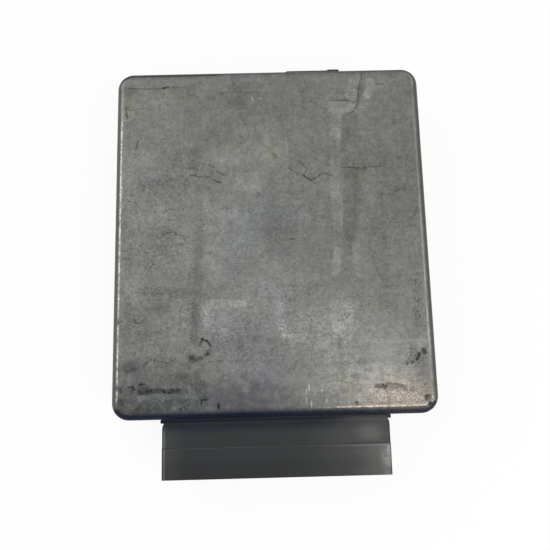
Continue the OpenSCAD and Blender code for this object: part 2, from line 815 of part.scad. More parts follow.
module memory_leads() {
    color([0.70, 0.70, 0.68]) under_board(memory_at)
        chip_leads(memory_size, 16);
}

module driver_chips() {
    color([0.11, 0.11, 0.12]) for (p = driver_at) under_board(p, 90)
        chip_body(driver_size);
}

module driver_leads() {
    color([0.70, 0.70, 0.68]) for (p = driver_at) under_board(p, 90)
        chip_leads(driver_size, 12);
}

module logic_chips() {
    color([0.11, 0.11, 0.12]) for (p = logic_at) under_board(p, 90)
        chip_body(logic_size);
}

module logic_leads() {
    color([0.70, 0.70, 0.68]) for (p = logic_at) under_board(p, 90)
        chip_leads(logic_size, 7);
}

// Quartz crystal in its can with round ends
module crystal() {
    base = 0.8;
    lap = 0.7;
    color([0.74, 0.74, 0.73]) for (p = crystal_at) under_board(p) {
        linear_extrude(base) rounded_rect(crystal_size[0] + 2 * lap, crystal_size[1] + 2 * lap,
            crystal_size[1] / 2 + lap - root);
        linear_extrude(crystal_size[2]) rounded_rect(crystal_size[0], crystal_size[1],
            crystal_size[1] / 2 - root);
        through_leads(crystal_lead, start = root);
    }
}

// Aluminium cans with the crimp near the board and a rounded far end
module electrolytic_capacitors() {
    crimp_z = 2.5;
    crimp = 0.6;
    nose = 0.8;
    color([0.16, 0.20, 0.30]) for (p = electrolytic_at) under_board(p) {
        rotate_extrude() polygon([[0, 0], [can_r - crimp, 0], [can_r, crimp],
            [can_r, crimp_z], [can_r - crimp, crimp_z + crimp], [can_r, crimp_z + 2 * crimp],
            [can_r, can_h - nose], [can_r - nose, can_h], [0, can_h]]);
        through_leads(can_lead, start = root);
    }
}

module film_capacitors() {
    color([0.55, 0.20, 0.14]) for (p = film_at) under_board(p) {
        linear_extrude(film_size[2]) rounded_rect(film_size[0], film_size[1], 0.8);
        through_leads(film_lead, start = root);
    }
}

module choke_core() {
    color([0.20, 0.19, 0.18]) under_board(choke_at) translate([0, 0, choke_wire + root])
        rotate_extrude() translate([choke_r, choke_h / 2])
            rounded_rect(choke_core_w, choke_h, 0.8);
}

// Turns of wire round the core, and the two ends that go to the board
module choke_winding() {
    inside = [choke_core_w + 2 * choke_gap, choke_h + 2 * choke_gap];
    outside = inside + 2 * [choke_wire, choke_wire];
    color([0.60, 0.34, 0.18]) under_board(choke_at) {
        for (i = [0:choke_turns - 1]) rotate(i * 360 / choke_turns)
            translate([choke_r, choke_wire / 2, choke_wire + root + choke_h / 2])
                rotate([90, 0, 0]) linear_extrude(choke_wire) difference() {
                    rounded_rect(outside[0], outside[1], choke_wire);
                    rounded_rect(inside[0], inside[1], choke_gap);
                }
        for (side = [-1, 1]) translate([side * choke_lead / 2, 0, 0])
            translate([0, 0, -board_t - lead_proud])
                cylinder(r = lead_r, h = board_t + lead_proud + choke_wire + choke_h / 2);
    }
}

// Diodes that lie under the board on their bent leads
module rectifier_diodes() {
    lift = diode_r + 0.6;
    color([0.14, 0.14, 0.15]) for (p = diode_at) under_board(p) {
        translate([0, diode_l / 2, lift]) rotate([90, 0, 0]) cylinder(r = diode_r, h = diode_l);
        translate([0, diode_lead / 2, lift]) rotate([90, 0, 0])
            cylinder(r = lead_r, h = diode_lead);
        for (side = [-1, 1]) translate([0, side * diode_lead / 2, lift]) sphere(lead_r);
        through_leads(diode_lead, [0, 1], lift);
    }
}

module suppressor() {
    lift = suppressor_r + 1;
    color([0.20, 0.30, 0.52]) for (p = suppressor_at) under_board(p) {
        translate([0, suppressor_t / 2, lift]) rotate([90, 0, 0])
            cylinder(r = suppressor_r, h = suppressor_t);
        through_leads(suppressor_lead, start = lift);
    }
}

// A small part under every pin column, in the header's order
module chip_parts(size, y) {
    for (x = pin_xs) translate([x - size[1] / 2, y - size[0] / 2, board_z - size[2]])
        cube([size[1], size[0], size[2]]);
}

module chip_resistors() {
    color([0.15, 0.15, 0.16]) chip_parts(chip_size, resistor_y);
}

module chip_capacitors() {
    color([0.62, 0.52, 0.40]) chip_parts(ceramic_size, ceramic_y);
}

housing();
cover();
cover_seal();
cover_screws();
header();
header_seal();
header_screws();
jack_insert();
service_cap();
port_fingers();
circuit_board();
board_screws();
for (row = [1:pin_rows]) pin_row(row);
transistor_tabs();
transistor_bodies();
thermal_pads();
spring_clips();
processor();
processor_leads();
memory_chip();
memory_leads();
driver_chips();
driver_leads();
logic_chips();
logic_leads();
crystal();
electrolytic_capacitors();
film_capacitors();
choke_core();
choke_winding();
rectifier_diodes();
suppressor();
chip_resistors();
chip_capacitors();
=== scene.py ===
"""Engine control unit: the finish of every piece, with the light and the camera of the photograph.

Metres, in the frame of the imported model. Materials work in millimetres, on the model's own coordinates.
Marks on the plain face are placed by pixels of the photograph, which is 550 pixels wide and high.
"""
import json
from collections import namedtuple

import bpy
from mathutils import Euler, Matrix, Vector


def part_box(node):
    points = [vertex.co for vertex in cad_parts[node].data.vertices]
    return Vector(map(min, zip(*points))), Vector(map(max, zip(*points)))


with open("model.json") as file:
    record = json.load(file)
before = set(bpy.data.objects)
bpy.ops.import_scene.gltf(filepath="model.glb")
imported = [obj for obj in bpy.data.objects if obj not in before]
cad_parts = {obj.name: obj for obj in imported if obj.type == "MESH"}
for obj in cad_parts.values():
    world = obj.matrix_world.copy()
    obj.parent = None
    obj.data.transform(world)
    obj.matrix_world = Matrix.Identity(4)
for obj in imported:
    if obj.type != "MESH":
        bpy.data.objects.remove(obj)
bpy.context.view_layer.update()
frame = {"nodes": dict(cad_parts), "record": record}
NODES = frame["nodes"]
SLOT_OF = {part["node"]: part["material_slot"] for part in frame["record"]["subparts"]}

MM = 0.001

# Camera, fitted to the outline of the housing and the header
PHOTO_SIZE = 550
PHOTO_MIDDLE = PHOTO_SIZE / 2
CAMERA_PLACE = Vector((-0.00078, -0.06557, 0.32008))
CAMERA_TURN = Euler((0.156643, -0.003741, -0.024962))
CAMERA_LENS = 36.0
CAMERA_NEAR = 0.01
SENSOR_WIDTH = 36.0

# The housing's and the header's sizes, in millimetres: the boxes from the model, the rest as in its source
HOUSING_LOW, HOUSING_HIGH = (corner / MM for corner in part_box("housing"))
HEADER_LOW, HEADER_HIGH = (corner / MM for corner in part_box("header"))
FACE_Z = HOUSING_HIGH.z
EDGE_R = 5.2
CORNER_R = 9.0
RIM_LENGTH = 15.3
HEADER_STEP_Y = HEADER_LOW.y + RIM_LENGTH
SHROUD_X = 57.8


def photo_point(u, v, height):
    """The point, in millimetres, that a pixel of the photograph shows at a height above the floor."""
    focal = CAMERA_LENS / SENSOR_WIDTH * PHOTO_SIZE
    ray = Vector(((u - PHOTO_MIDDLE) / focal, (PHOTO_MIDDLE - v) / focal, -1))
    ray.rotate(CAMERA_TURN)
    reach = (height * MM - CAMERA_PLACE.z) / ray.z
    return (CAMERA_PLACE + reach * ray) / MM


def face_point(u, v):
    """The point on the plain face that a pixel shows, without its height."""
    point = photo_point(u, v, FACE_Z)
    return Vector((point.x, point.y, 0))


# Millimetres on the plain face for one pixel of the photograph
FACE_PIXEL = (face_point(PHOTO_MIDDLE + 1, PHOTO_MIDDLE) - face_point(PHOTO_MIDDLE, PHOTO_MIDDLE)).length


def linear(*srgb):
    """A colour written as 0 to 255, as the linear colour that a shader takes."""
    def channel(value):
        share = value / 255
        return share / 12.92 if share <= 0.04045 else ((share + 0.055) / 1.055) ** 2.4
    return tuple(channel(value) for value in srgb) + (1,)


# The colour sockets of a Mix node, which share their names with its other sockets
MIX_A, MIX_B, MIX_RESULT = 6, 7, 2


class Steps:
    """A node tree in the making. Each method adds one small step and gives back its output socket."""

    def __init__(self, tree):
        self.nodes = tree.nodes
        self.links = tree.links

    def feed(self, socket, value):
        if isinstance(value, bpy.types.NodeSocket):
            self.links.new(value, socket)
        elif value is not None:
            socket.default_value = value

    def feed_all(self, sockets, values):
        for socket, value in zip(sockets, values):
            self.feed(socket, value)

    def math(self, operation, a, b=None, c=None, clamp=False):
        node = self.nodes.new("ShaderNodeMath")
        node.operation = operation
        node.use_clamp = clamp
        self.feed_all(node.inputs, (a, b, c))
        return node.outputs[0]

    def vector(self, operation, a, b=None, c=None, scale=None):
        node = self.nodes.new("ShaderNodeVectorMath")
        node.operation = operation
        self.feed_all(node.inputs, (a, b, c, scale))
        return node.outputs["Value" if operation in ("LENGTH", "DISTANCE", "DOT_PRODUCT") else "Vector"]

    def axes(self, vector):
        node = self.nodes.new("ShaderNodeSeparateXYZ")
        self.feed(node.inputs[0], vector)
        return node.outputs

    def ramp(self, value, low, high, to_low=0.0, to_high=1.0):
        """Smooth step from to_low to to_high as value goes from low to high."""
        node = self.nodes.new("ShaderNodeMapRange")
        node.interpolation_type = "SMOOTHSTEP"
        self.feed_all(node.inputs, (value, low, high, to_low, to_high))
        return node.outputs[0]

    def band(self, value, low, high, soft):
        """1 between low and high, with soft edges outside them."""
        rise = self.ramp(value, low - soft, low)
        return self.math("MULTIPLY", rise, self.ramp(value, high, high + soft, 1, 0))

    def product(self, *values):
        result = values[0]
        for value in values[1:]:
            result = self.math("MULTIPLY", result, value)
        return result

    def total(self, *values):
        result = values[0]
        for value in values[1:]:
            result = self.math("ADD", result, value)
        return result

    def swing(self, value, reach):
        """Noise about its middle: from minus half of reach to plus half of it."""
        return self.math("MULTIPLY_ADD", value, reach, -reach / 2)

    def mix(self, share, a, b, blend="MIX"):
        node = self.nodes.new("ShaderNodeMix")
        node.data_type = "RGBA"
        node.blend_type = blend
        self.feed(node.inputs["Factor"], share)
        self.feed(node.inputs[MIX_A], a)
        self.feed(node.inputs[MIX_B], b)
        return node.outputs[MIX_RESULT]

    def group(self, tree, *values):
        """A node group with its inputs fed in order. Gives back all its outputs."""
        node = self.nodes.new("ShaderNodeGroup")
        node.node_tree = tree
        self.feed_all(node.inputs, values)
        return node.outputs


class Paint(Steps):
    """A material whose textures lie in the model's own coordinates, in millimetres."""

    def __init__(self, name):
        self.material = bpy.data.materials.new(name)
        self.material.use_nodes = True
        super().__init__(self.material.node_tree)
        self.shader = self.nodes["Principled BSDF"]
        place = self.nodes.new("ShaderNodeTexCoord").outputs["Object"]
        self.place = self.vector("MULTIPLY", place, (1 / MM,) * 3)

    def set(self, **values):
        """Sets sockets of the shader, written with _ for a space."""
        for name, value in values.items():
            self.feed(self.shader.inputs[name.replace("_", " ")], value)

    def noise(self, size, detail=3.0, rough=0.55, output="Fac"):
        """Noise whose features measure about size, in millimetres; size may be one for each axis."""
        place = self.place
        if isinstance(size, tuple):
            place = self.vector("DIVIDE", place, size)
            size = 1.0
        node = self.nodes.new("ShaderNodeTexNoise")
        self.feed(node.inputs["Vector"], place)
        node.inputs["Scale"].default_value = 1 / size
        node.inputs["Detail"].default_value = detail
        node.inputs["Roughness"].default_value = rough
        return node.outputs[output]

    def uneven(self, reach, *noise):
        """Noise from minus half of reach to plus half of it; the rest is what noise takes."""
        return self.swing(self.noise(*noise), reach)

    def bump(self, height, distance):
        """Relief of a height of 1, in millimetres."""
        node = self.nodes.new("ShaderNodeBump")
        node.inputs["Distance"].default_value = distance * MM
        self.feed(node.inputs["Height"], height)
        return node.outputs[0]


def new_group(name, inputs, outputs):
    """An empty node group: the group, its steps, its inputs and its outputs."""
    tree = bpy.data.node_groups.new(name, "ShaderNodeTree")
    for in_out, sockets in (("INPUT", inputs), ("OUTPUT", outputs)):
        for socket, kind in sockets.items():
            tree.interface.new_socket(socket, in_out=in_out, socket_type="NodeSocket" + kind)
    steps = Steps(tree)
    given = steps.nodes.new("NodeGroupInput").outputs
    result = steps.nodes.new("NodeGroupOutput").inputs
    return tree, steps, given, result


def make_near_stretch():
    """Distance to a straight stretch, or the nearest distance so far where that is less."""
    inputs = {"Place": "Vector", "Start": "Vector", "Along": "Vector", "So far": "Float"}
    tree, steps, given, result = new_group("near_stretch", inputs, {"Nearest": "Float"})
    along = given["Along"]
    offset = steps.vector("SUBTRACT", given["Place"], given["Start"])
    share = steps.math("DIVIDE", steps.vector("DOT_PRODUCT", offset, along),
                       steps.vector("DOT_PRODUCT", along, along), clamp=True)
    distance = steps.vector("DISTANCE", offset, steps.vector("SCALE", along, scale=share))
    steps.feed(result["Nearest"], steps.math("MINIMUM", given["So far"], distance))
    return tree


def make_near_middle():
    """0 in the middle of an upright oval, 1 on its rim."""
    inputs = {"Place": "Vector", "Middle": "Vector", "Reach": "Vector"}
    tree, steps, given, result = new_group("near_middle", inputs, {"Distance": "Float"})
    offset = steps.vector("SUBTRACT", given["Place"], given["Middle"])
    steps.feed(result["Distance"], steps.vector("LENGTH", steps.vector("DIVIDE", offset, given["Reach"])))
    return tree


# What a mark works on
STATE = {"Place": "Vector", "Tone": "Float", "Hue": "Float"}

# The place that comes out of a stroke waits for its tone, by a share too small to matter, so that the
# renderer works out the marks one after another: all at once, they don't fit into its memory.
WAITING_SHARE = 1e-9


def make_stroke():
    """Adds one mark to the tone and the hue of a surface."""
    inputs = STATE | dict.fromkeys(("Distance", "Half", "Soft", "Strength", "Change", "Tint"), "Float")
    tree, steps, given, result = new_group("stroke", inputs, STATE)
    rim = steps.math("ADD", given["Half"], given["Soft"])
    mask = steps.product(steps.ramp(given["Distance"], given["Half"], rim, 1, 0), given["Strength"])
    tone = steps.product(given["Tone"], steps.math("MULTIPLY_ADD", mask, given["Change"], 1.0))
    steps.feed(result["Tone"], tone)
    steps.feed(result["Hue"], steps.math("MULTIPLY_ADD", mask, given["Tint"], given["Hue"]))
    steps.feed(result["Place"], steps.vector("MULTIPLY_ADD", tone, (WAITING_SHARE,) * 3, given["Place"]))
    return tree


NEAR_STRETCH = make_near_stretch()
NEAR_MIDDLE = make_near_middle()
STROKE = make_stroke()
FAR = 1000.0


# Marks on the plain face, in pixels of the photograph, a line's width and softness too.
# A patch is an oval, and its edge is the share of its reach over which it fades.
# A change below 0 darkens and one above 0 lightens. A tint below 0 is warm and one above 0 is cool.
# A row of a table below holds what its kind needs, in this order.
Line = namedtuple("Line", "points width soft change tint", defaults=(0,))
Patch = namedtuple("Patch", "middle reach change tint edge", defaults=(0, 0.9))
Dots = namedtuple("Dots", "places reach change")

# Stains and runs with clear sides
STRIPES = {
    "stain": ([(332, 106.6), (349, 107)], 11, 2, 0.3, 0.1),
    "stain_foot": ([(335, 112.4), (345, 112.2)], 4, 2, 0.1, 0.1),
    "stain_arm": ([(354.4, 80), (352.8, 87), (350.6, 96)], 9, 2.4, 0.26, 0.1),
    "stain_right": ([(369.6, 82), (371, 88), (368.6, 95)], 7, 2.4, 0.24, 0.1),
    "stain_right_low": ([(366, 97), (363.4, 105)], 7, 2.6, 0.2, 0.1),
    "stain_wedge": ([(361.4, 85), (361, 94.4)], 3.4, 1.4, -0.16),
    "streak_top": ([(335.4, 117), (335.4, 134)], 10.5, 1.6, 0.2, 0.2),
    "streak": ([(335.4, 132), (335.8, 160), (334.4, 192)], 9, 2, 0.15, 0.2),
    "streak_low": ([(336.6, 196), (337.4, 226)], 8.5, 2.2, 0.14, 0.1),
    "streak_end": ([(337.4, 250), (335.6, 272)], 5.6, 2.4, 0.27, 0.1),
    "brown_top": ([(349.6, 118), (350, 134)], 15, 1.8, -0.12, -0.4),
    "brown": ([(351, 134), (351, 174)], 14, 2.4, -0.06, -0.2),
    "brown_low": ([(351.4, 172), (350, 202), (349.4, 236)], 11, 2.8, -0.17, -0.2),
    "brown_side": ([(358, 180), (357, 222)], 5, 3, -0.08, -0.2),
    "brown_right": ([(361, 138), (361.6, 168), (360.6, 198)], 8, 2.6, -0.05, -0.4),
    "brown_gap": ([(347, 240), (346, 277)], 7, 3, -0.08),
    "upright_shade": ([(199, 250), (197, 300), (195, 341)], 5.4, 3.4, -0.18, 0.1),
    "upright_shade_end": ([(194.6, 304), (194.6, 341)], 4.4, 2, -0.12),
}

# Broad stains that dissolve at their sides
FIELDS = {
    "upright_shade_top": ([(199, 206), (198, 244)], 4, 5, -0.08),
    "upper_shade": ([(138, 186), (160, 183), (184, 184)], 7, 7, -0.08),
    "left_shade": ([(142, 292.6), (164, 291), (188, 293.4)], 5, 4, -0.19, -0.2),
    "pale_corner": ([(207, 324), (206.6, 308), (212, 304.6), (242, 303.4)], 4, 5, 0.3),
    "pale_corner_side": ([(206.6, 326), (206.4, 311)], 2, 2.6, 0.18),
    "pale_upper": ([(206, 262), (214, 279)], 8, 6, 0.15),
    "pale_l": ([(281, 303), (280.6, 322), (285, 333)], 3.4, 5, 0.25),
    "pale_l_foot": ([(285, 335.6), (290, 337), (304, 338)], 4.4, 4.4, 0.25),
    "pale_blob": ([(341, 303), (342, 322)], 18, 4, 0.16),
    "pale_blob_side": ([(350.6, 303), (350, 322)], 3, 4, 0.1),
    "pale_slant": ([(268, 265), (288, 278)], 5, 6, 0.14),
    "pale_right_streak": ([(356.6, 246), (356, 262), (359, 274)], 3.4, 3, 0.14),
    "pale_foot": ([(303, 280), (324, 279)], 4, 4, 0.12),
    "pale_middle_side": ([(205.6, 194), (205.4, 227)], 3, 3.4, 0.15),
    "pale_middle_foot": ([(206, 229), (222, 230)], 2.4, 3.4, 0.12),
}

# Thin lines scratched or drawn into the face
SCRATCHES = {
    "rear_line": ([(128, 88.7), (148, 88.8), (164, 88)], 0.7, 1, -0.34),
    "rear_line_knot": ([(163, 88), (168.4, 87.8)], 1.4, 0.9, -0.6),
    "rear_line_end": ([(168, 87.6), (184, 87.2), (196, 87)], 0.6, 1, -0.2),
    "rear_thread": ([(218, 92.4), (257, 92.6)], 0.4, 0.8, -0.24),
    "left_arc": ([(126, 107.6), (131, 110.6), (144, 108.4)], 0.6, 1.2, -0.26),
    "left_tick": ([(126, 109), (127, 118)], 1.2, 1.3, -0.45),
    "left_hair": ([(138.5, 140.5), (136, 149.5)], 0.7, 1.1, -0.36),
    "crack_top": ([(361.3, 72.7), (361.5, 79), (360, 81.2), (358.9, 86.1), (358.2, 92.8), (358.9, 96.8)],
                   0.4, 0.8, -0.42),
    "crack": ([(358.9, 96.8), (357.5, 101.3), (357.1, 105.3), (353.9, 109.8), (353.5, 111.5),
               (347.3, 114.7), (342.3, 116)], 0.4, 0.8, -0.38),
    "stain_dash": ([(330, 100.2), (349, 100)], 0.5, 1, -0.22),
    "stain_dash_left": ([(338.4, 100.4), (341.8, 100.5)], 1.1, 0.9, -0.4),
    "stain_dash_right": ([(344.8, 100), (348.8, 99.9)], 0.9, 0.9, -0.36),
    "stain_far_dash": ([(375.8, 84.3), (383.9, 84.3)], 0.6, 0.9, -0.3),
    "cross_mark": ([(342.9, 167.6), (350.8, 167.3), (357, 168)], 0.6, 1, -0.38),
    "cross_mark_knot": ([(358, 168.6), (366, 169)], 1.4, 1.6, -0.38),
    "cross_mark_end": ([(367, 167.2), (374, 166.2), (381, 165.6)], 0.7, 1.2, -0.36),
    "branch": ([(190, 175.6), (195.3, 175.8), (199.5, 177), (210, 177.2), (215.2, 180), (220.5, 182.6)],
                0.5, 0.9, -0.45),
    "branch_end": ([(216, 182), (220.8, 182.8)], 0.9, 0.9, -0.3),
    "branch_top": ([(208.4, 164.4), (214.2, 167.9)], 0.4, 0.9, -0.4),
    "branch_fork": ([(211, 177.4), (212.6, 174.2), (211.5, 171.6)], 0.6, 0.9, -0.35),
    "branch_right": ([(216.8, 172.1), (221.6, 173.2), (224.7, 175.6)], 0.5, 0.9, -0.45),
    "zigzag_left": ([(288.2, 168.2), (291.8, 169.5), (297.6, 173.7)], 0.4, 0.9, -0.42),
    "zigzag_top": ([(299.2, 161), (303.4, 164.2), (306.6, 167.9), (306, 172.6), (305, 175.3)],
                    0.4, 0.9, -0.42),
    "zigzag": ([(302.4, 174.2), (307.6, 178.4), (311.8, 180.2), (317, 176.8), (321.8, 173.2),
                (326.6, 173.7), (332.9, 176.3)], 0.5, 0.9, -0.45),
    "zigzag_knot": ([(308, 178.8), (311.8, 180.3)], 0.9, 0.9, -0.3),
    "middle_tick": ([(257.4, 192.7), (260.4, 195)], 0.6, 0.9, -0.4),
    "middle_dash": ([(231, 192.6), (237.5, 191.8), (241, 191.4)], 0.6, 1, -0.22),
    "low_dash": ([(290.3, 239.2), (294.6, 239)], 0.7, 0.9, -0.42),
    "ridge": ([(158, 238.4), (160.5, 237.4), (165.8, 233.7), (173.2, 232), (177.4, 235.2), (187.9, 236.8)],
               0.6, 1, -0.3),
    "ridge_low": ([(173, 243), (182.6, 244.7), (185.8, 241), (183.7, 238.2)], 0.6, 1, -0.28),
    "wave": ([(376, 190.5), (380, 193.7), (388.7, 194.2), (395, 192.6), (399.2, 189)], 0.6, 1.3, -0.17),
    "right_arc": ([(417, 207.4), (415, 213.7), (410.8, 217.9)], 0.7, 1.1, -0.3),
    "ring": ([(134.7, 319.2), (136.3, 322.9), (140.5, 324), (143.7, 319.2)], 0.7, 0.9, -0.42),
    "left_notch": ([(116, 323.2), (121, 321.4)], 0.9, 1, -0.5),
    "thin_dash": ([(178.4, 328.9), (187.9, 328.6)], 0.4, 0.9, -0.25),
    "low_arc": ([(376, 266.6), (378.7, 274), (383.4, 280.3)], 0.6, 1.1, -0.25),
    "low_thread": ([(382.4, 286), (399.2, 285.8)], 0.6, 0.9, -0.16),
    "r_tick": ([(208, 399.5), (201.9, 399.6), (201.7, 404)], 1, 0.8, -0.62),
    "front_tick": ([(218.2, 403.8), (218.6, 408.4)], 1.8, 0.9, -0.62),
    "front_curl": ([(180.6, 409.4), (182, 407.2), (184.4, 406.8), (186.4, 409)], 1.2, 1, -0.5),
    "left_slant": ([(126, 372), (138, 368), (152, 359)], 0.8, 2, -0.24),
}

# Dark, mottled smears and blobs
SMEARS = {
    "smear_spot": ([(141.2, 384.4), (144.8, 384.4)], 1.9, 1.2, -0.62),
    "smear_spot_tail": ([(138.4, 385.4), (141, 384.6)], 0.8, 1, -0.45),
    "smear_hook": ([(128.1, 387.3), (132.4, 387), (133.9, 389.8)], 1.3, 1, -0.6),
    "smear_hook_low": ([(132, 389.6), (131.2, 391.6), (132, 393.4)], 0.8, 1.2, -0.35),
    "smear_top": ([(138.4, 387.9), (148, 387.8)], 0.9, 1, -0.48),
    "smear_left": ([(139.8, 391.2), (146.4, 391)], 3.2, 1.8, -0.55),
    "smear_left_knot": ([(139.4, 391.2), (140.4, 391.4)], 1.6, 1.2, -0.4),
    "smear_neck": ([(146, 391), (150.8, 390.8)], 1.5, 1.4, -0.5),
    "smear_under": ([(138.6, 394.2), (143, 394.4), (150.8, 394)], 0.9, 1, -0.5),
    "smear_middle": ([(152, 390.8), (161, 391)], 3, 2, -0.52),
    "smear_blob": ([(162.4, 390.8), (163.8, 391.2)], 2.8, 1.4, -0.6),
    "smear_right": ([(165, 391.2), (178.4, 390.8)], 3.8, 1.8, -0.55),
    "smear_right_low": ([(168, 392.9), (171, 393.1)], 1.3, 1.1, -0.48),
    "smear_right_top": ([(171, 389.8), (177.8, 390)], 1.1, 1.2, -0.42),
    "left_spot": ([(120.2, 389.6), (120.7, 392.8)], 1.6, 1.2, -0.5),
    "hook_left": ([(202.1, 338.7), (201.2, 343), (200.1, 346)], 1.7, 1, -0.62),
    "hook_top": ([(202.1, 338.7), (203.5, 340.1), (206.4, 340.7)], 1.4, 1, -0.62),
    "hook_right": ([(206.4, 340.7), (208.3, 342.7), (210.5, 346)], 1.9, 1, -0.62),
    "hook_low": ([(209.4, 350.4), (207.4, 352), (206, 354.4)], 2.8, 1.4, -0.56),
    "hook_spur": ([(206.6, 353.8), (209, 354.3)], 1.6, 1.2, -0.5),
    "hook_tail": ([(202, 357.6), (197.8, 359.2), (191, 361.4)], 2.2, 1.8, -0.46),
    "hook_end": ([(190, 357), (193.4, 359.6)], 2.4, 1.8, -0.28),
    "hook_blot": ([(187, 356), (193, 356.6)], 2.8, 2.4, -0.22),
    "hook_far": ([(218.2, 361.5), (221, 360.5)], 1, 1.1, -0.45),
    "heavy_dot": ([(423.8, 350), (424, 352)], 3, 1.6, -0.88),
    "heavy_dash": ([(418.8, 354), (416.8, 358.8)], 2, 1.4, -0.78),
    "heavy_bit": ([(414.4, 356.4), (415.2, 355)], 1, 1.2, -0.45),
    "heavy_foot": ([(412, 361.4), (413.2, 361.2)], 1.2, 1, -0.5),
    "heavy_low": ([(406.4, 363.7), (407, 363.5)], 1.8, 1, -0.62),
    "heavy_top": ([(411, 347.6), (415.4, 349.4)], 1.4, 2.2, -0.3),
    "middle_spot": ([(273, 154), (277, 157.4)], 1.6, 1.6, -0.36),
    "corner_mottle": ([(119, 402), (124, 409.4), (136, 412)], 3, 3, -0.34),
    "corner_mottle_low": ([(138, 409), (150, 410.4)], 2, 2.4, -0.3),
    "right_smear": ([(376.2, 386.6), (380, 386), (385.2, 386.6)], 2.1, 1.6, -0.6),
    "right_smear_knot": ([(384, 386.8), (386, 386.4)], 2.4, 1.3, -0.45),
    "right_smear_top": ([(378, 386), (382.8, 383.9), (389, 382.9), (394.6, 383.4), (401.7, 384.9),
                         (405.6, 386)], 1, 1.3, -0.42),
    "right_smear_low": ([(378.2, 387.6), (384.9, 389)], 0.9, 1.2, -0.36),
    "right_smear_fill": ([(389, 385.6), (400, 386.4)], 3.4, 2.4, -0.26),
    "right_smear_tail": ([(402, 386.4), (406.3, 389.5)], 1, 1.5, -0.36),
    "front_dot": ([(357, 402.2), (357.4, 403)], 2, 1, -0.75),
}

# Bright scratches, rims and glints
SHINES = {
    "stain_rim": ([(326, 99), (328.5, 95.8), (332, 94.6), (335, 96.2), (338, 94.8), (341, 96.4),
                   (345, 95.4), (348, 93.4)], 0.4, 0.8, 0.3),
    "stain_thread": ([(359.3, 106.2), (360, 113.3)], 0.4, 0.8, 0.3),
    "foot_dash": ([(312.6, 274.3), (319, 274)], 0.8, 1.2, 0.24),
    "scratch_bright": ([(311.6, 401.6), (311.2, 408)], 0.5, 0.7, 1.3),
    "scratch_a": ([(306.8, 398), (306.4, 402.8)], 0.4, 0.8, 0.8),
    "scratch_b": ([(309.2, 385.6), (309.2, 390)], 0.6, 0.8, 0.9),
    "scratch_c": ([(306.5, 388.6), (306.2, 394.4)], 0.4, 0.8, 0.7),
    "scratch_d": ([(315.9, 391.4), (315.2, 394.4)], 0.5, 0.8, 0.75),
    "scratch_e": ([(319.6, 390.6), (322.4, 390.6)], 0.5, 0.8, 0.8),
    "scratch_f": ([(327.4, 399), (326.6, 402.8)], 0.4, 0.8, 0.75),
    "speck_a": ([(252.2, 97), (253.2, 100.4)], 0.4, 0.7, 0.9),
    "speck_b": ([(259.2, 98.8), (260.8, 98.6)], 0.5, 0.7, 0.9),
}

# Small dots, dark and pale
DOTS = {
    "dark": Dots([
        (134, 157.6), (157.9, 197), (156.3, 192), (149.5, 193.5), (202, 230.7), (145.8, 252.4),
        (140.5, 245.8), (183.7, 238.4), (171, 297.2), (176.3, 297.7), (145.8, 357.9), (146.3, 362.6),
        (155.3, 360), (167.4, 363.7), (172, 361.6), (182.4, 402.8), (188, 405.6), (274, 158),
        (292, 102.4), (301.8, 116.3), (326.5, 104.8), (369.3, 83.9), (278.2, 278.4), (308, 293.6),
        (310, 295), (349.2, 315), (348, 317), (421.6, 326), (425.6, 326.4), (416.6, 282.4),
        (414, 298.2), (417.6, 301.3), (418, 311.8), (420.2, 315.5), (411.7, 348.4), (411.4, 362.7),
        (396.6, 401.8), (191, 338), (184.5, 348.7), (183, 352.5)], 1.3, -0.6),
    "pale": Dots([
        (216.8, 113.2), (154.3, 124.3), (240.7, 128), (338, 255.8), (291.8, 389.8), (282.6, 324)], 0.9, 0.45),
}

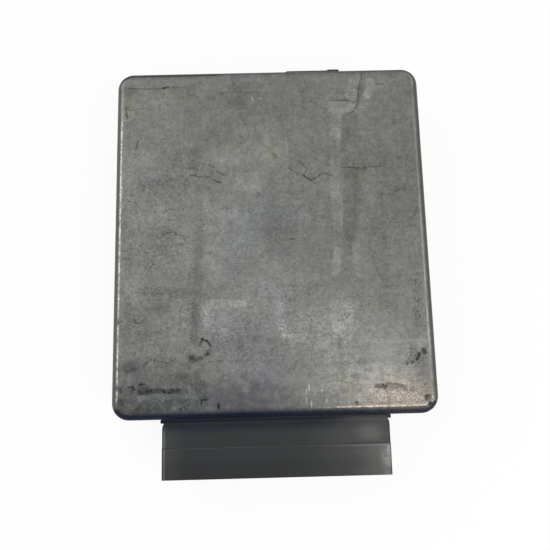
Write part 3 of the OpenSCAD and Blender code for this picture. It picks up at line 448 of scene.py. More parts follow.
# Soft clouds of a lighter or darker tone
PATCHES = {
    "corner_patch": ((409, 84), (4, 4), -0.14, 0, 0.6),
    "right_patch": ((394.5, 124), (5, 5), -0.23, 0, 0.7),
    "right_smudge": ((401, 187), (10, 7), -0.16, 0, 0.8),
    "top_smudge": ((208, 96), (5, 9), -0.14, 0, 0.8),
    "top_smudge_left": ((194, 86), (4, 4), -0.2, 0, 0.8),
    "hook_cloud": ((191, 358), (6, 3.4), -0.36, 0, 0.8),
    "left_olive": ((163, 309), (13, 7), -0.17, -0.3, 0.7),
    "left_low": ((129, 368), (15, 9), -0.33, 0, 0.8),
    "left_low_pale": ((160, 370), (6, 4), 0.2, -0.5, 0.8),
    "left_middle_pale": ((157, 323), (7, 5), 0.14, -0.4, 0.8),
    "left_upper": ((152, 185), (22, 9), -0.2, 0, 0.8),
    "left_upper_pale": ((143, 156), (24, 22), 0.2, 0.2),
    "left_corner_pale": ((131, 117), (9, 9), 0.18),
    "left_lower_pale": ((137, 290), (24, 30), 0.18),
    "left_ridge_pale": ((154, 216), (40, 15), 0.15),
    "left_field": ((145, 330), (50, 60), -0.15),
    "left_upright": ((186, 322), (8, 26), 0.12),
    "left_upright_top": ((186, 262), (10, 20), 0.12),
    "rear_left_end": ((130, 92), (18, 16), -0.3),
    "rear_left_pale": ((166, 99), (12, 12), 0.16),
    "rear_left_dark": ((192, 90), (12, 12), -0.14),
    "rear_knot": ((236, 103), (14, 14), -0.09),
    "rear_left_knot": ((190, 122), (16, 14), -0.13),
    "rear_field": ((262, 100), (80, 42), -0.14),
    "upper_square": ((194, 157), (9, 22), -0.17, 0, 0.6),
    "upper_square_left": ((177, 158), (8, 16), -0.1, 0, 0.7),
    "upper_pale": ((228, 158), (28, 22), 0.3),
    "upper_right_pale": ((270, 152), (36, 22), 0.26),
    "upper_middle_pale": ((250, 183), (24, 20), 0.34),
    "middle_field": ((235, 225), (80, 60), 0.1),
    "middle_pale": ((222, 214), (26, 26), 0.24),
    "middle_left_pale": ((216, 256), (16, 30), 0.19),
    "middle_dark": ((274, 230), (28, 34), -0.14),
    "middle_dark_knot": ((267, 233), (7, 8), -0.14),
    "middle_bar": ((304, 218), (12, 7), 0.14),
    "middle_low": ((262, 290), (60, 40), 0.16),
    "middle_low_dark": ((243, 342), (34, 36), -0.12),
    "middle_low_knot": ((272, 340), (9, 9), -0.17),
    "middle_low_shade": ((280, 356), (20, 26), -0.14),
    "corner_field": ((224, 322), (24, 24), 0.24),
    "right_middle_field": ((326, 326), (48, 40), 0.3),
    "right_pale": ((369, 190), (12, 14), 0.14),
    "right_low_pale": ((365, 218), (8, 12), 0.14),
    "right_knot": ((403, 188), (7, 5), -0.1),
    "right_dark": ((398, 140), (13, 9), -0.12),
    "right_rim_pale": ((411, 109), (8, 18), 0.17, -0.3),
    "right_rim_dark": ((417, 316), (9, 28), -0.18),
    "right_rim_low": ((424, 370), (17, 42), -0.2),
    "right_field": ((400, 200), (46, 120), -0.1),
    "right_shade": ((385, 303), (24, 11), -0.12),
    "right_bar": ((393, 290), (20, 5), 0.1, -0.3),
    "heavy_cloud": ((416, 357), (14, 9), -0.22),
    "hook_field": ((198, 370), (34, 22), -0.27),
    # low_left, low_left_rim, low_left_end and low_middle: painted shade, the lower left and front middle
    # lying darker
    "low_left": ((146, 392), (76, 44), -0.38, 0.2),
    "low_left_rim": ((152, 405), (60, 13), -0.36, 0.1),
    "low_left_end": ((126, 396), (16, 20), -0.22),
    "low_upright": ((201, 390), (11, 20), -0.2, 0, 0.8),
    "low_middle": ((240, 400), (92, 34), -0.5),
    # low_right, low_right_rim and sheen: painted sheen of a warm lamp, brightening the front right of the
    # face
    "low_right": ((385, 358), (105, 60), 0.3, 0, 0.95),
    "low_right_rim": ((366, 384), (80, 30), 0.34, -0.2, 0.95),
    "sheen": ((404, 399), (60, 17), 0.34, 0, 0.95),
}

# Broad, faint colours; these change the hue alone
TINTS = {
    "rear_olive": ((262, 120), (110, 70), 0, -0.5),
    "rear_warm": ((150, 104), (64, 40), 0, -0.4),
    "middle_teal": ((266, 240), (90, 86), 0, 0.5),
    "middle_teal_top": ((278, 206), (62, 36), 0, 0.3),
    "low_violet": ((240, 338), (38, 32), 0, 0.7),
    "low_violet_end": ((262, 378), (38, 42), 0, 0.8),
    "front_violet": ((210, 402), (90, 24), 0, 0.9),
    "right_olive": ((388, 308), (38, 22), 0, -0.5),
    "upper_olive": ((266, 152), (76, 26), 0, -0.3),
    "rear_corner_warm": ((128, 106), (34, 36), 0, -0.35),
    "right_corner_warm": ((409, 102), (14, 34), 0, -0.35),
    "upper_left_olive": ((175, 160), (6, 18), 0, -0.5, 0.8),
    "low_right_olive": ((344, 382), (13, 24), 0, -0.6),
}

# Places where the casting is full of dark pits; the change is how full
PITTED = {
    "left_upper": ((152, 197), (18, 14), 0.45, 0, 0.8),
    "left_hair": ((138, 150), (10, 14), 0.8, 0, 0.8),
    "left_ridge": ((160, 246), (26, 14), 0.5, 0, 0.8),
    "left_low": ((164, 361), (24, 6), 1.1, 0, 0.7),
    "branch": ((214, 175), (12, 10), 0.9, 0, 0.8),
    "middle": ((276, 156), (9, 6), 1, 0, 0.8),
    "right_edge": ((418, 290), (7, 36), 1, 0, 0.7),
    "right_heavy": ((414, 358), (16, 12), 1.2, 0, 0.8),
    "pale_blob": ((346, 316), (9, 8), 0.9, 0, 0.8),
    "low_left": ((150, 404), (44, 9), 0.9, 0, 0.8),
}

# The chip in the front right corner: where each part of it lies, its reach in pixels and its colour
# shade is painted shade on the hollow's upper side; glint is a painted highlight
CHIPPED = {
    "hollow": ((427.0, 397.4), (428.4, 398.6), 4.6, linear(98, 89, 81)),
    "shade": ((426.8, 396.0), (428.2, 395.8), 1.6, linear(72, 66, 61)),
    "rim": ((427.0, 402.2), (431.8, 400.2), 2.0, linear(168, 164, 156)),
    "pit": ((429.4, 403.6), (430.8, 403.0), 2.3, linear(34, 33, 32)),
    "glint": ((432.4, 396.8), (432.9, 397.6), 1.2, linear(206, 204, 202)),
}

# Share of a chip mark's reach, and of a dot's, that has the full strength
CHIP_CORE = 0.3
DOT_CORE = 0.2

# A painted warm sheen, the reflection of a lamp, in the front right corner, and how much of its colour it
# takes
SHEEN = Patch((404, 402), (78, 42), 0.8)

# How far wandering noise moves a mark, and how much finer noise eats into its rim, in millimetres
MARK_WANDER = 1.4
MARK_RAG = 0.8
STRIPE_RAG = 1.4
FIELD_RAG = 3.2
# The same for a soft cloud, as a share of its reach
CLOUD_RAG = 0.9


def near_patch(steps, place, patch):
    """0 in the middle of a patch, 1 on its rim."""
    reach = Vector((*patch.reach, 1)) * FACE_PIXEL
    return steps.group(NEAR_MIDDLE, place, face_point(*patch.middle), reach)[0]


def patch_stroke(steps, place, row):
    """A patch as a stroke: the distance from it, its full part, its fading part, its change and its tint."""
    patch = Patch(*row)
    return near_patch(steps, place, patch), 1 - patch.edge, patch.edge, patch.change, patch.tint


def line_stroke(steps, place, row):
    """The same for a line, in millimetres."""
    line = Line(*row)
    points = [face_point(*pixel) for pixel in line.points]
    nearest = FAR
    for a, b in zip(points, points[1:]):
        nearest = steps.group(NEAR_STRETCH, place, a, b - a, nearest)[0]
    return nearest, line.width / 2 * FACE_PIXEL, line.soft * FACE_PIXEL, line.change, line.tint


def dots_stroke(steps, place, dots):
    """The same for all dots of a kind, in millimetres."""
    nearest = FAR
    for pixel in dots.places:
        nearest = steps.math("MINIMUM", nearest, steps.vector("DISTANCE", place, face_point(*pixel)))
    reach = dots.reach * FACE_PIXEL
    return nearest, DOT_CORE * reach, (1 - DOT_CORE) * reach, dots.change, 0.0


def make_marks(name, marks, as_stroke):
    """A group that adds the marks of one family to the tone and the hue, one after another."""
    tree, steps, given, result = new_group(name, STATE | {"Rag": "Float", "Strength": "Float"}, STATE)
    state = given[:3]
    for mark in marks.values():
        distance, half, soft, change, tint = as_stroke(steps, state[0], mark)
        distance = steps.math("ADD", distance, given["Rag"])
        state = steps.group(STROKE, *state, distance, half, soft, given["Strength"], change, tint)[:3]
    steps.feed_all(result, state)
    return tree


def face_marks(paint, place):
    """The marks on the plain face: a factor for its tone and a shift of its hue."""
    wander = paint.vector("SUBTRACT", paint.noise(7.0, 3, output="Color"), (0.5,) * 3)
    place = paint.vector("MULTIPLY_ADD", wander, (MARK_WANDER,) * 3, place)
    mark_rag = paint.uneven(MARK_RAG, 0.9, 2)
    ragged = paint.noise(2.2, 4, 0.65)
    stripe_rag = paint.swing(ragged, STRIPE_RAG)
    field_rag = paint.swing(ragged, FIELD_RAG)
    cloud_rag = paint.uneven(CLOUD_RAG, 5.0, 4, 0.6)
    broken = paint.ramp(paint.noise(1.9, 2), 0.36, 0.54, 0.65, 1.2)
    mottled = paint.ramp(paint.noise(1.1, 2), 0.36, 0.56, 0.55, 1.05)
    patchy = paint.ramp(paint.noise(2.4, 3), 0.34, 0.58, 0.8, 1.1)
    speckled = paint.ramp(paint.noise(1.3, 3, 0.65), 0.36, 0.6, 0.35, 1.35)
    families = (
        ("clouds", PATCHES | TINTS, patch_stroke, cloud_rag, 1.0),
        ("stripes", STRIPES, line_stroke, stripe_rag, patchy),
        ("fields", FIELDS, line_stroke, field_rag, speckled),
        ("scratches", SCRATCHES, line_stroke, mark_rag, broken),
        ("smears", SMEARS, line_stroke, mark_rag, mottled),
        ("shines", SHINES, line_stroke, mark_rag, 1.0),
        ("dots", DOTS, dots_stroke, mark_rag, 1.0),
    )
    state = place, 1.0, 0.0
    for name, marks, as_stroke, rag, strength in families:
        state = paint.group(make_marks(name, marks, as_stroke), *state, rag, strength)[:3]
    _, tone, hue = state
    return tone, hue


def pitted_zones(paint, place):
    """How full of pits a place is, as a share."""
    share = paint.ramp(paint.noise(14.0, 3), 0.46, 0.64, 0.05, 0.6)
    for row in PITTED.values():
        zone = Patch(*row)
        near = near_patch(paint, place, zone)
        share = paint.math("MAXIMUM", share, paint.ramp(near, 1 - zone.edge, 1.0, zone.change, 0))
    return share


# The casting's mean tone, as a factor of its colour, and the share of its grain that every place has
CASTING_TONE = 1.025
CASTING_GRAIN = 0.82


def casting_tone(paint, flat, x, y):
    """The casting's own unevenness, as a factor: clouds, grain, brushing, pits and pale specks."""
    left = paint.product(paint.ramp(x, -25, -55), paint.ramp(y, 60, 30), 0.42)
    front = paint.product(paint.band(x, -30, 30, 20), paint.band(y, -62, -35, 15), 0.4)
    front_left = paint.product(paint.ramp(x, 30, 0), paint.ramp(y, -60, -75), -0.45)
    rear = paint.ramp(y, 30, 55, 0, -0.2)
    coarse = paint.total(CASTING_GRAIN, left, front, front_left, rear)
    speckled = paint.product(coarse, paint.ramp(paint.noise(11.0, 3), 0.36, 0.6, 0.7, 1.25))
    broad = paint.uneven(0.4, 26.0, 3)
    upright = paint.uneven(0.4, (8.0, 24.0, 24.0), 3)
    across = paint.uneven(0.3, (22.0, 8.0, 22.0), 3)
    tone = paint.total(CASTING_TONE, broad, upright, across)
    grain = paint.total(paint.uneven(1.15, 0.75, 2, 0.7), paint.uneven(0.55, 2.0, 3))
    clouds = paint.product(paint.uneven(0.55, 4.0, 4, 0.6), paint.ramp(y, 20, 50, 1, 1.5))
    tone = paint.total(tone, paint.product(grain, speckled), clouds)
    brushed = paint.product(paint.ramp(x, 0, 30), paint.ramp(y, -20, -60))
    combed = paint.ramp(y, 20, 60)
    runs = paint.product(paint.ramp(x, 8, 32), paint.ramp(y, -42, -66))
    streaks = ((brushed, (12, 0.8, 12), 0.5), (combed, (0.9, 14, 14), 0.3), (runs, (2.4, 26, 26), 0.36))
    for place, size, reach in streaks:
        tone = paint.total(tone, paint.product(paint.uneven(reach, size, 3), place))

    pits = paint.product(paint.ramp(paint.noise(0.95, 1.5), 0.56, 0.64), pitted_zones(paint, flat))
    low_left = paint.product(paint.ramp(x, 20, -40), paint.ramp(y, -10, -60))
    specks = paint.product(paint.ramp(paint.noise(1.2, 2), 0.58, 0.7), low_left)
    tone = paint.product(tone, paint.math("MULTIPLY_ADD", pits, -0.5, 1.0))
    return paint.product(tone, paint.math("MULTIPLY_ADD", specks, 0.3, 1.0)), pits


def edge_depth(paint, flat):
    """How far, seen from above, a point lies outside the flat of the plain face, in millimetres."""
    half = (HOUSING_HIGH - HOUSING_LOW) / 2
    middle = (HOUSING_HIGH + HOUSING_LOW) / 2
    offset = paint.vector("ABSOLUTE", paint.vector("SUBTRACT", flat, Vector((middle.x, middle.y, 0))))
    past = paint.vector("SUBTRACT", offset, Vector((half.x - CORNER_R, half.y - CORNER_R, 0)))
    outside = paint.vector("LENGTH", paint.vector("MAXIMUM", past, (0, 0, 0)))
    past_x, past_y, _ = paint.axes(past)
    inside = paint.math("MINIMUM", paint.math("MAXIMUM", past_x, past_y), 0)
    return paint.math("SUBTRACT", paint.math("ADD", outside, inside), CORNER_R - EDGE_R)


# The line on the left edge, partly worn metal and partly painted highlight, in pixels of the photograph: its
# column, the rows at which it starts and ends, and those between which it is interrupted
LEFT_LINE_COLUMN = 120
LEFT_LINE_TOP_ROW = 130
LEFT_LINE_END_ROW = 404
LEFT_LINE_GAPS = ((319.5, 324.5), (387, 389.4))


def edge_shade_wear_and_highlights(paint, color, x, y, depth, near_top):
    """Lines along the left and right edges, the left one partly worn metal and partly painted highlight, the
    right one painted highlight, with painted shade in strips outside them and along the rear.
    """
    jitter = paint.total(paint.uneven(0.7, 2.2, 2), paint.uneven(0.6, 0.8, 2))
    frayed = paint.math("ADD", depth, jitter)
    patchy = paint.ramp(paint.noise(7.0, 3), 0.36, 0.52, 0.45, 1.0)
    beads = paint.ramp(paint.noise((3.0, 1.1, 3.0), 2), 0.38, 0.56, 0.4, 1.0)
    left = paint.ramp(x, HOUSING_LOW.x + EDGE_R + 1, HOUSING_LOW.x + EDGE_R)
    right = paint.ramp(x, HOUSING_HIGH.x - EDGE_R - 1, HOUSING_HIGH.x - EDGE_R)
    rear = paint.ramp(y, HOUSING_HIGH.y - EDGE_R - 1, HOUSING_HIGH.y - EDGE_R)

    # Painted shade on the outer part of the rounded left and right edges
    strip = paint.product(paint.ramp(frayed, 2.1, 3.1), near_top)
    color = paint.mix(paint.product(strip, left, 0.85), color, linear(96, 95, 92))
    color = paint.mix(paint.product(strip, right, 0.85), color, linear(84, 82, 77))
    # Painted shade along the rounded rear edge
    rear_start = paint.ramp(x, -30, -20, 1.2, 1.8)
    rear_strip = paint.ramp(paint.math("SUBTRACT", frayed, rear_start), 0, 1.4)
    rear_strip = paint.product(rear_strip, rear, near_top, paint.ramp(x, -30, -20, 0.9, 0.6))
    color = paint.mix(rear_strip, color, linear(58, 55, 48))

    # The left line: partly worn metal, partly painted highlight
    top, end = (face_point(LEFT_LINE_COLUMN, row).y for row in (LEFT_LINE_TOP_ROW, LEFT_LINE_END_ROW))
    line = paint.product(paint.band(frayed, 1.5, 2.0, 0.4), left, patchy, beads)
    line = paint.product(line, paint.ramp(y, top + 12, top - 6, 0.3, 1.0), paint.ramp(y, end - 2, end + 4))
    for first, last in LEFT_LINE_GAPS:
        gap = paint.band(y, face_point(LEFT_LINE_COLUMN, last).y, face_point(LEFT_LINE_COLUMN, first).y, 0.4)
        line = paint.product(line, paint.math("MULTIPLY_ADD", gap, -0.9, 1.0))
    color = paint.mix(paint.product(line, 0.9), color, linear(216, 213, 206))
    # The right line: painted highlight, fading towards the front corner
    line = paint.product(paint.band(frayed, 1.3, 1.5, 0.6), right, patchy, paint.ramp(y, 90, -50, 0.24, 0.8),
                         paint.ramp(y, -82, -58, 0.1, 1.0))
    return paint.mix(line, color, linear(180, 176, 163))


def painted_front_shade(paint, color, x, y, depth, near_top):
    """Painted shade down the front edge, blue-black like a dark reflection, with a painted warm highlight
    line above its right half.
    """
    front = paint.ramp(y, HOUSING_LOW.y + EDGE_R + 2, HOUSING_LOW.y + EDGE_R)
    rag = paint.total(paint.uneven(0.8, 5.0, 3), paint.uneven(0.7, 1.1, 2))
    depth = paint.math("ADD", depth, rag)
    start = paint.total(-1.2, paint.ramp(x, 30, 55, 0, 0.4), paint.ramp(x, -50, -66, 0, -0.3))
    past = paint.math("SUBTRACT", depth, start)
    # Painted shade: a dark, bluish reflection along the front edge, greyer at its left end
    front_shade = paint.product(paint.ramp(past, 0, 4.4), front, near_top)
    deep = paint.mix(paint.ramp(past, 1.8, 4.0), linear(30, 38, 56), linear(4, 16, 40))
    deep = paint.mix(paint.ramp(x, -20, 60, 0, 0.8), deep, linear(30, 36, 50))
    left_end = paint.product(paint.ramp(x, -48, -66), paint.ramp(depth, 3.4, 1.6))
    deep = paint.mix(paint.product(left_end, 0.7), deep, linear(46, 47, 50))
    deep = paint.mix(1.0, deep, paint.ramp(paint.noise(1.8, 3), 0.35, 0.65, 0.55, 1.35), "MULTIPLY")
    color = paint.mix(paint.product(front_shade, 0.96), color, deep)

    # Painted highlight: a warm line along the top of the front edge's right half
    frayed = paint.ramp(paint.noise((1.6, 40.0, 40.0), 3, 0.6), 0.4, 0.56, 0.35, 1.0)
    highlight = paint.product(paint.band(depth, 0.6, 0.9, 0.45), front, frayed, paint.ramp(x, 14, 46),
                          paint.ramp(x, 74, 79, 1, 0))
    return paint.mix(paint.product(highlight, 0.75), color, linear(228, 212, 192)), front_shade


def chipped_corner(paint, color, flat, near_top):
    """The chip in the front right corner: a brown hollow with painted shade on its upper side, a painted
    glint beside it, a pale rim and a black pit.
    """
    rag = paint.uneven(0.9, 0.8, 2)
    for start, end, reach, inside in CHIPPED.values():
        start, end = face_point(*start), face_point(*end)
        near = paint.math("ADD", paint.group(NEAR_STRETCH, flat, start, end - start, FAR)[0], rag)
        share = paint.ramp(near, CHIP_CORE * reach * FACE_PIXEL, reach * FACE_PIXEL, 0.9, 0)
        color = paint.mix(paint.product(share, near_top), color, inside)
    return color


def scuffed_walls(paint, color, z):
    """Pale scuffs along the walls, and a darker colour towards their foot."""
    wall = paint.ramp(z, FACE_Z - EDGE_R + 1, FACE_Z - EDGE_R - 3)
    scuffs = paint.ramp(paint.noise((16.0, 16.0, 0.45), 3, 0.6), 0.6, 0.7)
    scuffs = paint.product(scuffs, paint.ramp(paint.noise(22.0, 2), 0.45, 0.62), wall)
    color = paint.mix(paint.product(scuffs, 0.5), color, linear(158, 157, 153))
    # Darker towards the foot of the walls
    height = paint.total(z, paint.uneven(9.0, 6.0, 4, 0.6))
    darker_foot = paint.ramp(height, HOUSING_LOW.z + 8, HOUSING_LOW.z, 0, 0.45)
    return paint.mix(darker_foot, color, linear(66, 64, 60))


# Depths below the plain face between which its marks end, and those between which the painted shade, painted
# highlights and wear of its edges end
MARKS_FADE = (1.0, 2.2)
EDGE_FADE = (8, 26)


def cast_aluminium():
    """Old die casting: cloudy grey and pitted, with painted shade, painted highlights and some wear along its
    edges, painted shade along the front, and a painted sheen in its front right corner.
    """
    paint = Paint("cast_aluminium")
    x, y, z = paint.axes(paint.place)
    flat = paint.vector("MULTIPLY", paint.place, (1, 1, 0))
    tone, pits = casting_tone(paint, flat, x, y)
    marks, hue = face_marks(paint, flat)
    on_face = paint.ramp(z, FACE_Z - MARKS_FADE[1], FACE_Z - MARKS_FADE[0])
    tone = paint.math("MULTIPLY_ADD", paint.math("SUBTRACT", tone, 1), paint.ramp(on_face, 0, 1, 0.45, 1), 1)
    tone = paint.product(tone, paint.math("MULTIPLY_ADD", paint.math("SUBTRACT", marks, 1), on_face, 1))

    hue = paint.total(paint.product(hue, on_face), paint.uneven(1.6, 24.0, 3))
    violet = paint.product(paint.ramp(y, -15, -45), paint.ramp(x, -46, -28))
    cool = paint.mix(violet, linear(116.4, 121.4, 119.8), linear(119, 120.5, 124.5))
    color = paint.mix(paint.ramp(hue, 0, 1), linear(119, 119.7, 118), cool)
    color = paint.mix(paint.ramp(hue, 0, -1), color, linear(120.8, 122.2, 113.2))
    # Painted sheen of a warm lamp in the front right corner, with painted glints in it
    sheen = paint.product(paint.ramp(near_patch(paint, flat, SHEEN), 0.0, 1.0, 1, 0), on_face)
    color = paint.mix(paint.product(sheen, SHEEN.change), color, linear(130, 122, 114))
    sparkle = paint.product(paint.uneven(3.4, 0.7, 2, 0.75), sheen)
    tone = paint.product(tone, paint.math("ADD", sparkle, 1.0))
    color = paint.mix(1.0, color, tone, "MULTIPLY")

    depth = edge_depth(paint, flat)
    height = paint.total(z, paint.uneven(8.0, 9.0, 3))
    near_top = paint.ramp(height, FACE_Z - EDGE_FADE[1], FACE_Z - EDGE_FADE[0])
    # Painted shade and painted highlights along the edges, partly wear
    color = edge_shade_wear_and_highlights(paint, color, x, y, depth, near_top)
    # Painted shade along the front edge, with a painted highlight above it
    color, front_shade = painted_front_shade(paint, color, x, y, depth, near_top)
    color = chipped_corner(paint, color, flat, near_top)
    color = scuffed_walls(paint, color, z)

    cloudy = paint.noise(9.0, 4, 0.6)
    # The metal turns matte where the front's painted shade lies
    paint.set(Base_Color=color, Metallic=paint.ramp(front_shade, 0, 1, 0.55, 0.0), Specular_IOR_Level=0.1,
              Roughness=paint.ramp(cloudy, 0.3, 0.7, 0.44, 0.6))
    relief = paint.total(paint.noise(0.9, 3, 0.7), paint.product(pits, -0.8))
    paint.set(Normal=paint.bump(relief, 0.05))
    return paint.material


# A spot of painted sheen on the header, between its flange and its step
SHEEN_SPOT_PLACE = photo_point(371, 432, HEADER_HIGH.z)
SHEEN_SPOT_REACH = Vector((20, 12, 60)) * FACE_PIXEL


def painted_header_sheen(paint, color, x, y, clouds, rim, on_top):
    """Painted sheen and highlights on the header: paler on its right half and on a spot behind the step, lit
    at both ends of its top.
    """
    streaks = paint.noise((14.0, 0.9, 14.0), 3, 0.6)
    # Painted sheen, streaky, over the right half
    pale = paint.product(paint.ramp(x, 4, 56), paint.ramp(streaks, 0.3, 0.7, 0.8, 1.0),
                         paint.ramp(clouds, 0.3, 0.65, 0.6, 1.0), on_top)
    color = paint.mix(paint.product(pale, 0.72), color, linear(76, 77, 76))
    sheen_spot = paint.group(NEAR_MIDDLE, paint.place, SHEEN_SPOT_PLACE, SHEEN_SPOT_REACH)[0]
    sheen_spot = paint.product(paint.ramp(sheen_spot, 0.1, 1.0, 1, 0), paint.ramp(streaks, 0.3, 0.7, 0.7, 1.0), on_top)
    color = paint.mix(paint.product(sheen_spot, 0.7), color, linear(92, 92, 90))
    # Painted sheen on the right end of the rim
    bright = paint.product(paint.ramp(x, 34, 60), rim, paint.ramp(streaks, 0.35, 0.65, 0.75, 1.0), on_top)
    color = paint.mix(paint.product(bright, 0.66), color, linear(104, 104, 103))
    smudged = paint.ramp(paint.noise(3.5, 4, 0.65), 0.36, 0.6, 0.15, 1.0)
    # Painted highlights at the right end of the rim and along the left edge
    lit_right = paint.product(paint.ramp(x, SHROUD_X - 7.0, SHROUD_X - 2.0), smudged, rim, on_top,
                              paint.ramp(y, HEADER_LOW.y + 1.0, HEADER_LOW.y + 7.0, 0.35, 1.0))
    color = paint.mix(lit_right, color, linear(134, 133, 131))
    lit_left = paint.total(paint.product(paint.band(x, 0.9 - SHROUD_X, 1.7 - SHROUD_X, 0.4), 0.6),
                           paint.ramp(x, 14.0 - SHROUD_X, 2.0 - SHROUD_X, 0, 0.16))
    return paint.mix(paint.product(lit_left, on_top), color, linear(90, 93, 93))


def header_lines(paint, color, x, y, on_top):
    """Painted shade on the header's rounded side edges, a painted highlight on its step, painted shade under
    the housing on its flange, and a lighter colour that offsets the shade in its groove and along its step.
    """
    # Painted shade on the rounded side edges of the shroud
    dark_ends = paint.ramp(paint.math("ABSOLUTE", x), SHROUD_X - 0.9, SHROUD_X - 0.5)
    color = paint.mix(paint.product(dark_ends, on_top, 0.85), color, linear(20, 22, 23))
    # Painted highlight on the edge of the step, towards the right
    step = paint.band(y, HEADER_STEP_Y - 0.9, HEADER_STEP_Y - 0.6, 0.3)
    step = paint.product(step, paint.ramp(x, 20, 54, 0.0, 0.55), on_top)
    color = paint.mix(step, color, linear(112, 112, 110))
    # Painted shade that the housing casts on the flange, weaker towards the right
    flange = paint.ramp(y, HOUSING_LOW.y - 9.0, HOUSING_LOW.y - 1.0)
    flange = paint.product(flange, paint.ramp(x, 20, 46, 1, 0.15))
    color = paint.mix(flange, color, linear(4, 12, 30))
    # A lighter colour in the groove, offsetting its shade
    groove = paint.product(paint.band(y, HOUSING_LOW.y - 3.2, HOUSING_LOW.y - 2.0, 0.1), on_top)
    groove_color = paint.mix(paint.ramp(x, 20, 50), linear(46, 50, 55), linear(88, 88, 88))
    color = paint.mix(paint.product(groove, 0.7), color, groove_color)
    # A lighter colour along the step, offsetting its shade
    step_shade = paint.product(paint.band(y, HEADER_STEP_Y - 0.3, HEADER_STEP_Y + 0.3, 0.3), on_top)
    step_color = paint.mix(paint.ramp(x, 0, 40), linear(67, 69, 70), linear(76, 76, 75))
    return paint.mix(paint.product(step_shade, 0.4), color, step_color)


def header_plastic():
    """Dark glass-filled moulding: darkest at its flange, where shade is painted, and with a painted sheen
    paler towards its right end.
    """
    paint = Paint("header_plastic")
    x, y, z = paint.axes(paint.place)
    grain = paint.noise(0.5, 3, 0.6)
    clouds = paint.noise(18.0, 4, 0.6)
    rim = paint.ramp(y, HEADER_STEP_Y + 0.5, HEADER_STEP_Y - 0.5)
    on_top = paint.ramp(z, HEADER_HIGH.z - 3, HEADER_HIGH.z - 1.5)
    color = paint.mix(paint.ramp(clouds, 0.3, 0.7), linear(36, 42, 42), linear(41, 43, 45))
    color = paint.mix(paint.product(rim, 0.7), color, linear(40, 41, 43))
    # Painted sheen and painted highlights
    color = painted_header_sheen(paint, color, x, y, clouds, rim, on_top)
    # Painted shade and painted light along the header's edges, step, flange and groove
    color = header_lines(paint, color, x, y, on_top)
    mouth = paint.ramp(y, HEADER_STEP_Y - 4.0, HEADER_STEP_Y - 10.0, 1.0, 0.82)
    color = paint.mix(1.0, color, mouth, "MULTIPLY")
    color = paint.mix(1.0, color, paint.ramp(grain, 0.2, 0.8, 0.96, 1.3), "MULTIPLY")

    paint.set(Base_Color=color, Roughness=paint.ramp(clouds, 0.3, 0.7, 0.5, 0.62))
    paint.set(Specular_IOR_Level=0.2, Normal=paint.bump(grain, 0.02))
    return paint.material


# Relief of a grain, in millimetres
METAL_RELIEF = 0.01
MOULDED_RELIEF = 0.02


def metal(name, dark, light, rough, grain=(2.0, 2.0, 2.0)):
    """Bare or plated metal, with fine streaks along the longest side of its grain."""
    paint = Paint(name)
    streaks = paint.noise(grain, 4, 0.6)
    stains = paint.noise(6.0, 4, 0.6)
    color = paint.mix(paint.ramp(stains, 0.3, 0.7), linear(*dark), linear(*light))
    color = paint.mix(1.0, color, paint.ramp(streaks, 0.2, 0.8, 0.88, 1.1), "MULTIPLY")
    paint.set(Base_Color=color, Metallic=0.9, Roughness=paint.ramp(streaks, 0.3, 0.7, rough, rough + 0.14))
    paint.set(Normal=paint.bump(streaks, METAL_RELIEF))
    return paint.material


def moulded(name, dark, light, rough, size=0.8):
    """Plastic, rubber or ceramic, with a fine grain and a cloudy tone."""
    paint = Paint(name)
    grain = paint.noise(size, 3, 0.6)
    clouds = paint.noise(12 * size, 3, 0.6)
    color = paint.mix(paint.ramp(clouds, 0.3, 0.7), linear(*dark), linear(*light))
    color = paint.mix(1.0, color, paint.ramp(grain, 0.2, 0.8, 0.88, 1.12), "MULTIPLY")
    paint.set(Base_Color=color, Roughness=paint.ramp(grain, 0.3, 0.7, rough, rough + 0.15))
    paint.set(Normal=paint.bump(grain, MOULDED_RELIEF))
    return paint.material


# Metals: a dark and a light tone, the roughness and, where it isn't the usual one, the size of the grain
METALS = {
    "sheet_aluminium": ((157, 157, 154), (169, 169, 166), 0.34, (60, 0.6, 60)),
    "plated_steel": ((160, 152, 128), (188, 182, 160), 0.28, (1, 1, 1)),
    "turned_brass": ((180, 142, 76), (206, 170, 100), 0.24, (6, 0.3, 6)),
    "gilt_contact": ((190, 166, 110), (214, 192, 140), 0.22, (4, 4, 4)),
    "tinned_lead": ((165, 165, 161), (190, 190, 186), 0.3),
    "spring_steel": ((120, 120, 120), (146, 146, 145), 0.3, (1, 8, 1)),
    "crystal_can": ((178, 178, 175), (200, 200, 197), 0.22),
    "copper_wire": ((140, 78, 42), (176, 104, 60), 0.25, (0.6, 0.6, 0.6)),
}

# Plastics, rubbers and ceramics: the same
MOULDINGS = {
    "seal_rubber": ((28, 28, 28), (40, 40, 41), 0.62),
    "cap_plastic": ((30, 29, 26), (48, 46, 40), 0.5),
    "board_laminate": ((22, 78, 44), (34, 98, 58), 0.35, 1.2),
    "chip_moulding": ((24, 24, 25), (36, 36, 37), 0.5, 0.4),
    "pad_silicone": ((170, 166, 152), (192, 188, 174), 0.6),
    "capacitor_sleeve": ((30, 38, 62), (42, 52, 80), 0.3),
    "film_case": ((122, 40, 28), (146, 54, 38), 0.34),
    "ferrite": ((44, 42, 40), (64, 61, 58), 0.6, 0.5),
    "suppressor_coat": ((38, 68, 122), (52, 86, 146), 0.28),
    "chip_ceramic": ((34, 34, 36), (52, 52, 54), 0.4, 0.3),
    "capacitor_ceramic": ((150, 124, 94), (174, 148, 116), 0.45, 0.3),
}

MATERIALS = {"cast_aluminium": cast_aluminium(), "header_plastic": header_plastic()}
MATERIALS |= {name: metal(name, *look) for name, look in METALS.items()}
MATERIALS |= {name: moulded(name, *look) for name, look in MOULDINGS.items()}

for name, node in NODES.items():
    node.data.materials.clear()
    node.data.materials.append(MATERIALS[SLOT_OF[name]])


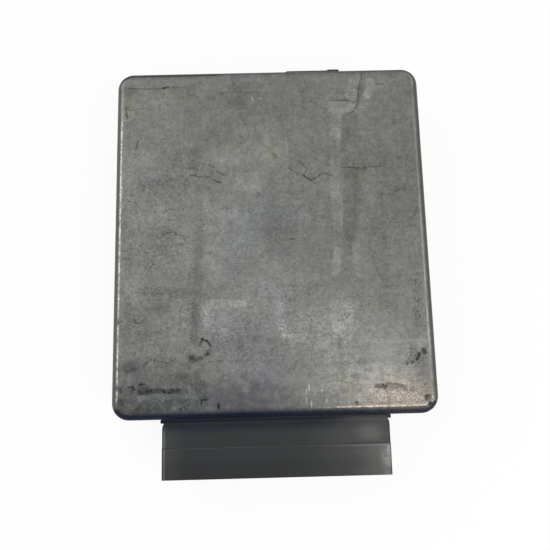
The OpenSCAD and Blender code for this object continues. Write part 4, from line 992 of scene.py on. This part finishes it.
# Share of plain white in what the camera sees of the floor: the rest is lit, and leaves a faint shadow
FLOOR_WHITE = 0.90
FLOOR_GREY = 0.86
FLOOR_REACH = 6.0

# The room's light: how high it starts to grow and ends, as the height of a direction, and its strengths there
ROOM_HEIGHTS = (-0.1, 0.9)
ROOM_STRENGTHS = (0.32, 0.8)

# Broad lamps: place, aim and width in metres, power in watts and colour
LAMPS = {
    "key": ((0.55, -0.45, 0.9), (0.02, -0.02, 0.03), 0.7, 5.0, (1.0, 0.95, 0.89)),
    "fill": ((-0.7, 0.35, 0.8), (0.0, 0.0, 0.03), 0.8, 3.0, (0.96, 0.98, 1.0)),
}


def make_floor():
    """A wide white floor that the object stands on."""
    mesh = bpy.data.meshes.new("floor")
    corners = [(-1, -1), (1, -1), (1, 1), (-1, 1)]
    mesh.from_pydata([(FLOOR_REACH * x, FLOOR_REACH * y, 0) for x, y in corners], [], [(0, 1, 2, 3)])
    floor = bpy.data.objects.new("floor", mesh)
    bpy.context.scene.collection.objects.link(floor)

    paint = Paint("floor_white")
    nodes = paint.nodes
    path = nodes.new("ShaderNodeLightPath").outputs
    seen = paint.math("MAXIMUM", path["Is Camera Ray"], path["Is Glossy Ray"])
    seen = paint.math("MAXIMUM", seen, path["Is Transmission Ray"])
    matte = nodes.new("ShaderNodeBsdfDiffuse")
    matte.inputs["Color"].default_value = (FLOOR_GREY, FLOOR_GREY, FLOOR_GREY, 1)
    glow = nodes.new("ShaderNodeEmission")
    blend = nodes.new("ShaderNodeMixShader")
    paint.feed(blend.inputs[0], paint.math("MULTIPLY", seen, FLOOR_WHITE))
    paint.links.new(matte.outputs[0], blend.inputs[1])
    paint.links.new(glow.outputs[0], blend.inputs[2])
    nodes.remove(paint.shader)
    paint.links.new(blend.outputs[0], nodes["Material Output"].inputs[0])
    mesh.materials.append(paint.material)


def make_world():
    """A pale room: brightest overhead, darker towards the horizon."""
    world = bpy.data.worlds.new("room")
    world.use_nodes = True
    steps = Steps(world.node_tree)
    background = steps.nodes["Background"]
    direction = steps.nodes.new("ShaderNodeTexCoord").outputs["Generated"]
    strength = steps.ramp(steps.axes(direction)["Z"], *ROOM_HEIGHTS, *ROOM_STRENGTHS)
    steps.feed(background.inputs["Strength"], strength)
    steps.feed(background.inputs["Color"], (1, 1, 1, 1))
    bpy.context.scene.world = world


def make_lamp(name, place, aim, size, energy, color):
    lamp = bpy.data.lights.new(name, "AREA")
    lamp.shape = "DISK"
    lamp.size = size
    lamp.energy = energy
    lamp.color = color
    lamp_object = bpy.data.objects.new(name, lamp)
    lamp_object.location = place
    lamp_object.rotation_euler = (Vector(aim) - Vector(place)).to_track_quat("-Z", "Y").to_euler()
    bpy.context.scene.collection.objects.link(lamp_object)


def make_camera():
    camera = bpy.data.cameras.new("camera")
    camera.lens = CAMERA_LENS
    camera.sensor_width = SENSOR_WIDTH
    camera.clip_start = CAMERA_NEAR
    camera_object = bpy.data.objects.new("camera", camera)
    camera_object.location = CAMERA_PLACE
    camera_object.rotation_euler = CAMERA_TURN
    bpy.context.scene.collection.objects.link(camera_object)
    bpy.context.scene.camera = camera_object


make_floor()
make_world()
for name, lamp in LAMPS.items():
    make_lamp(name, *lamp)
make_camera()
bpy.context.scene.view_settings.view_transform = "Standard"
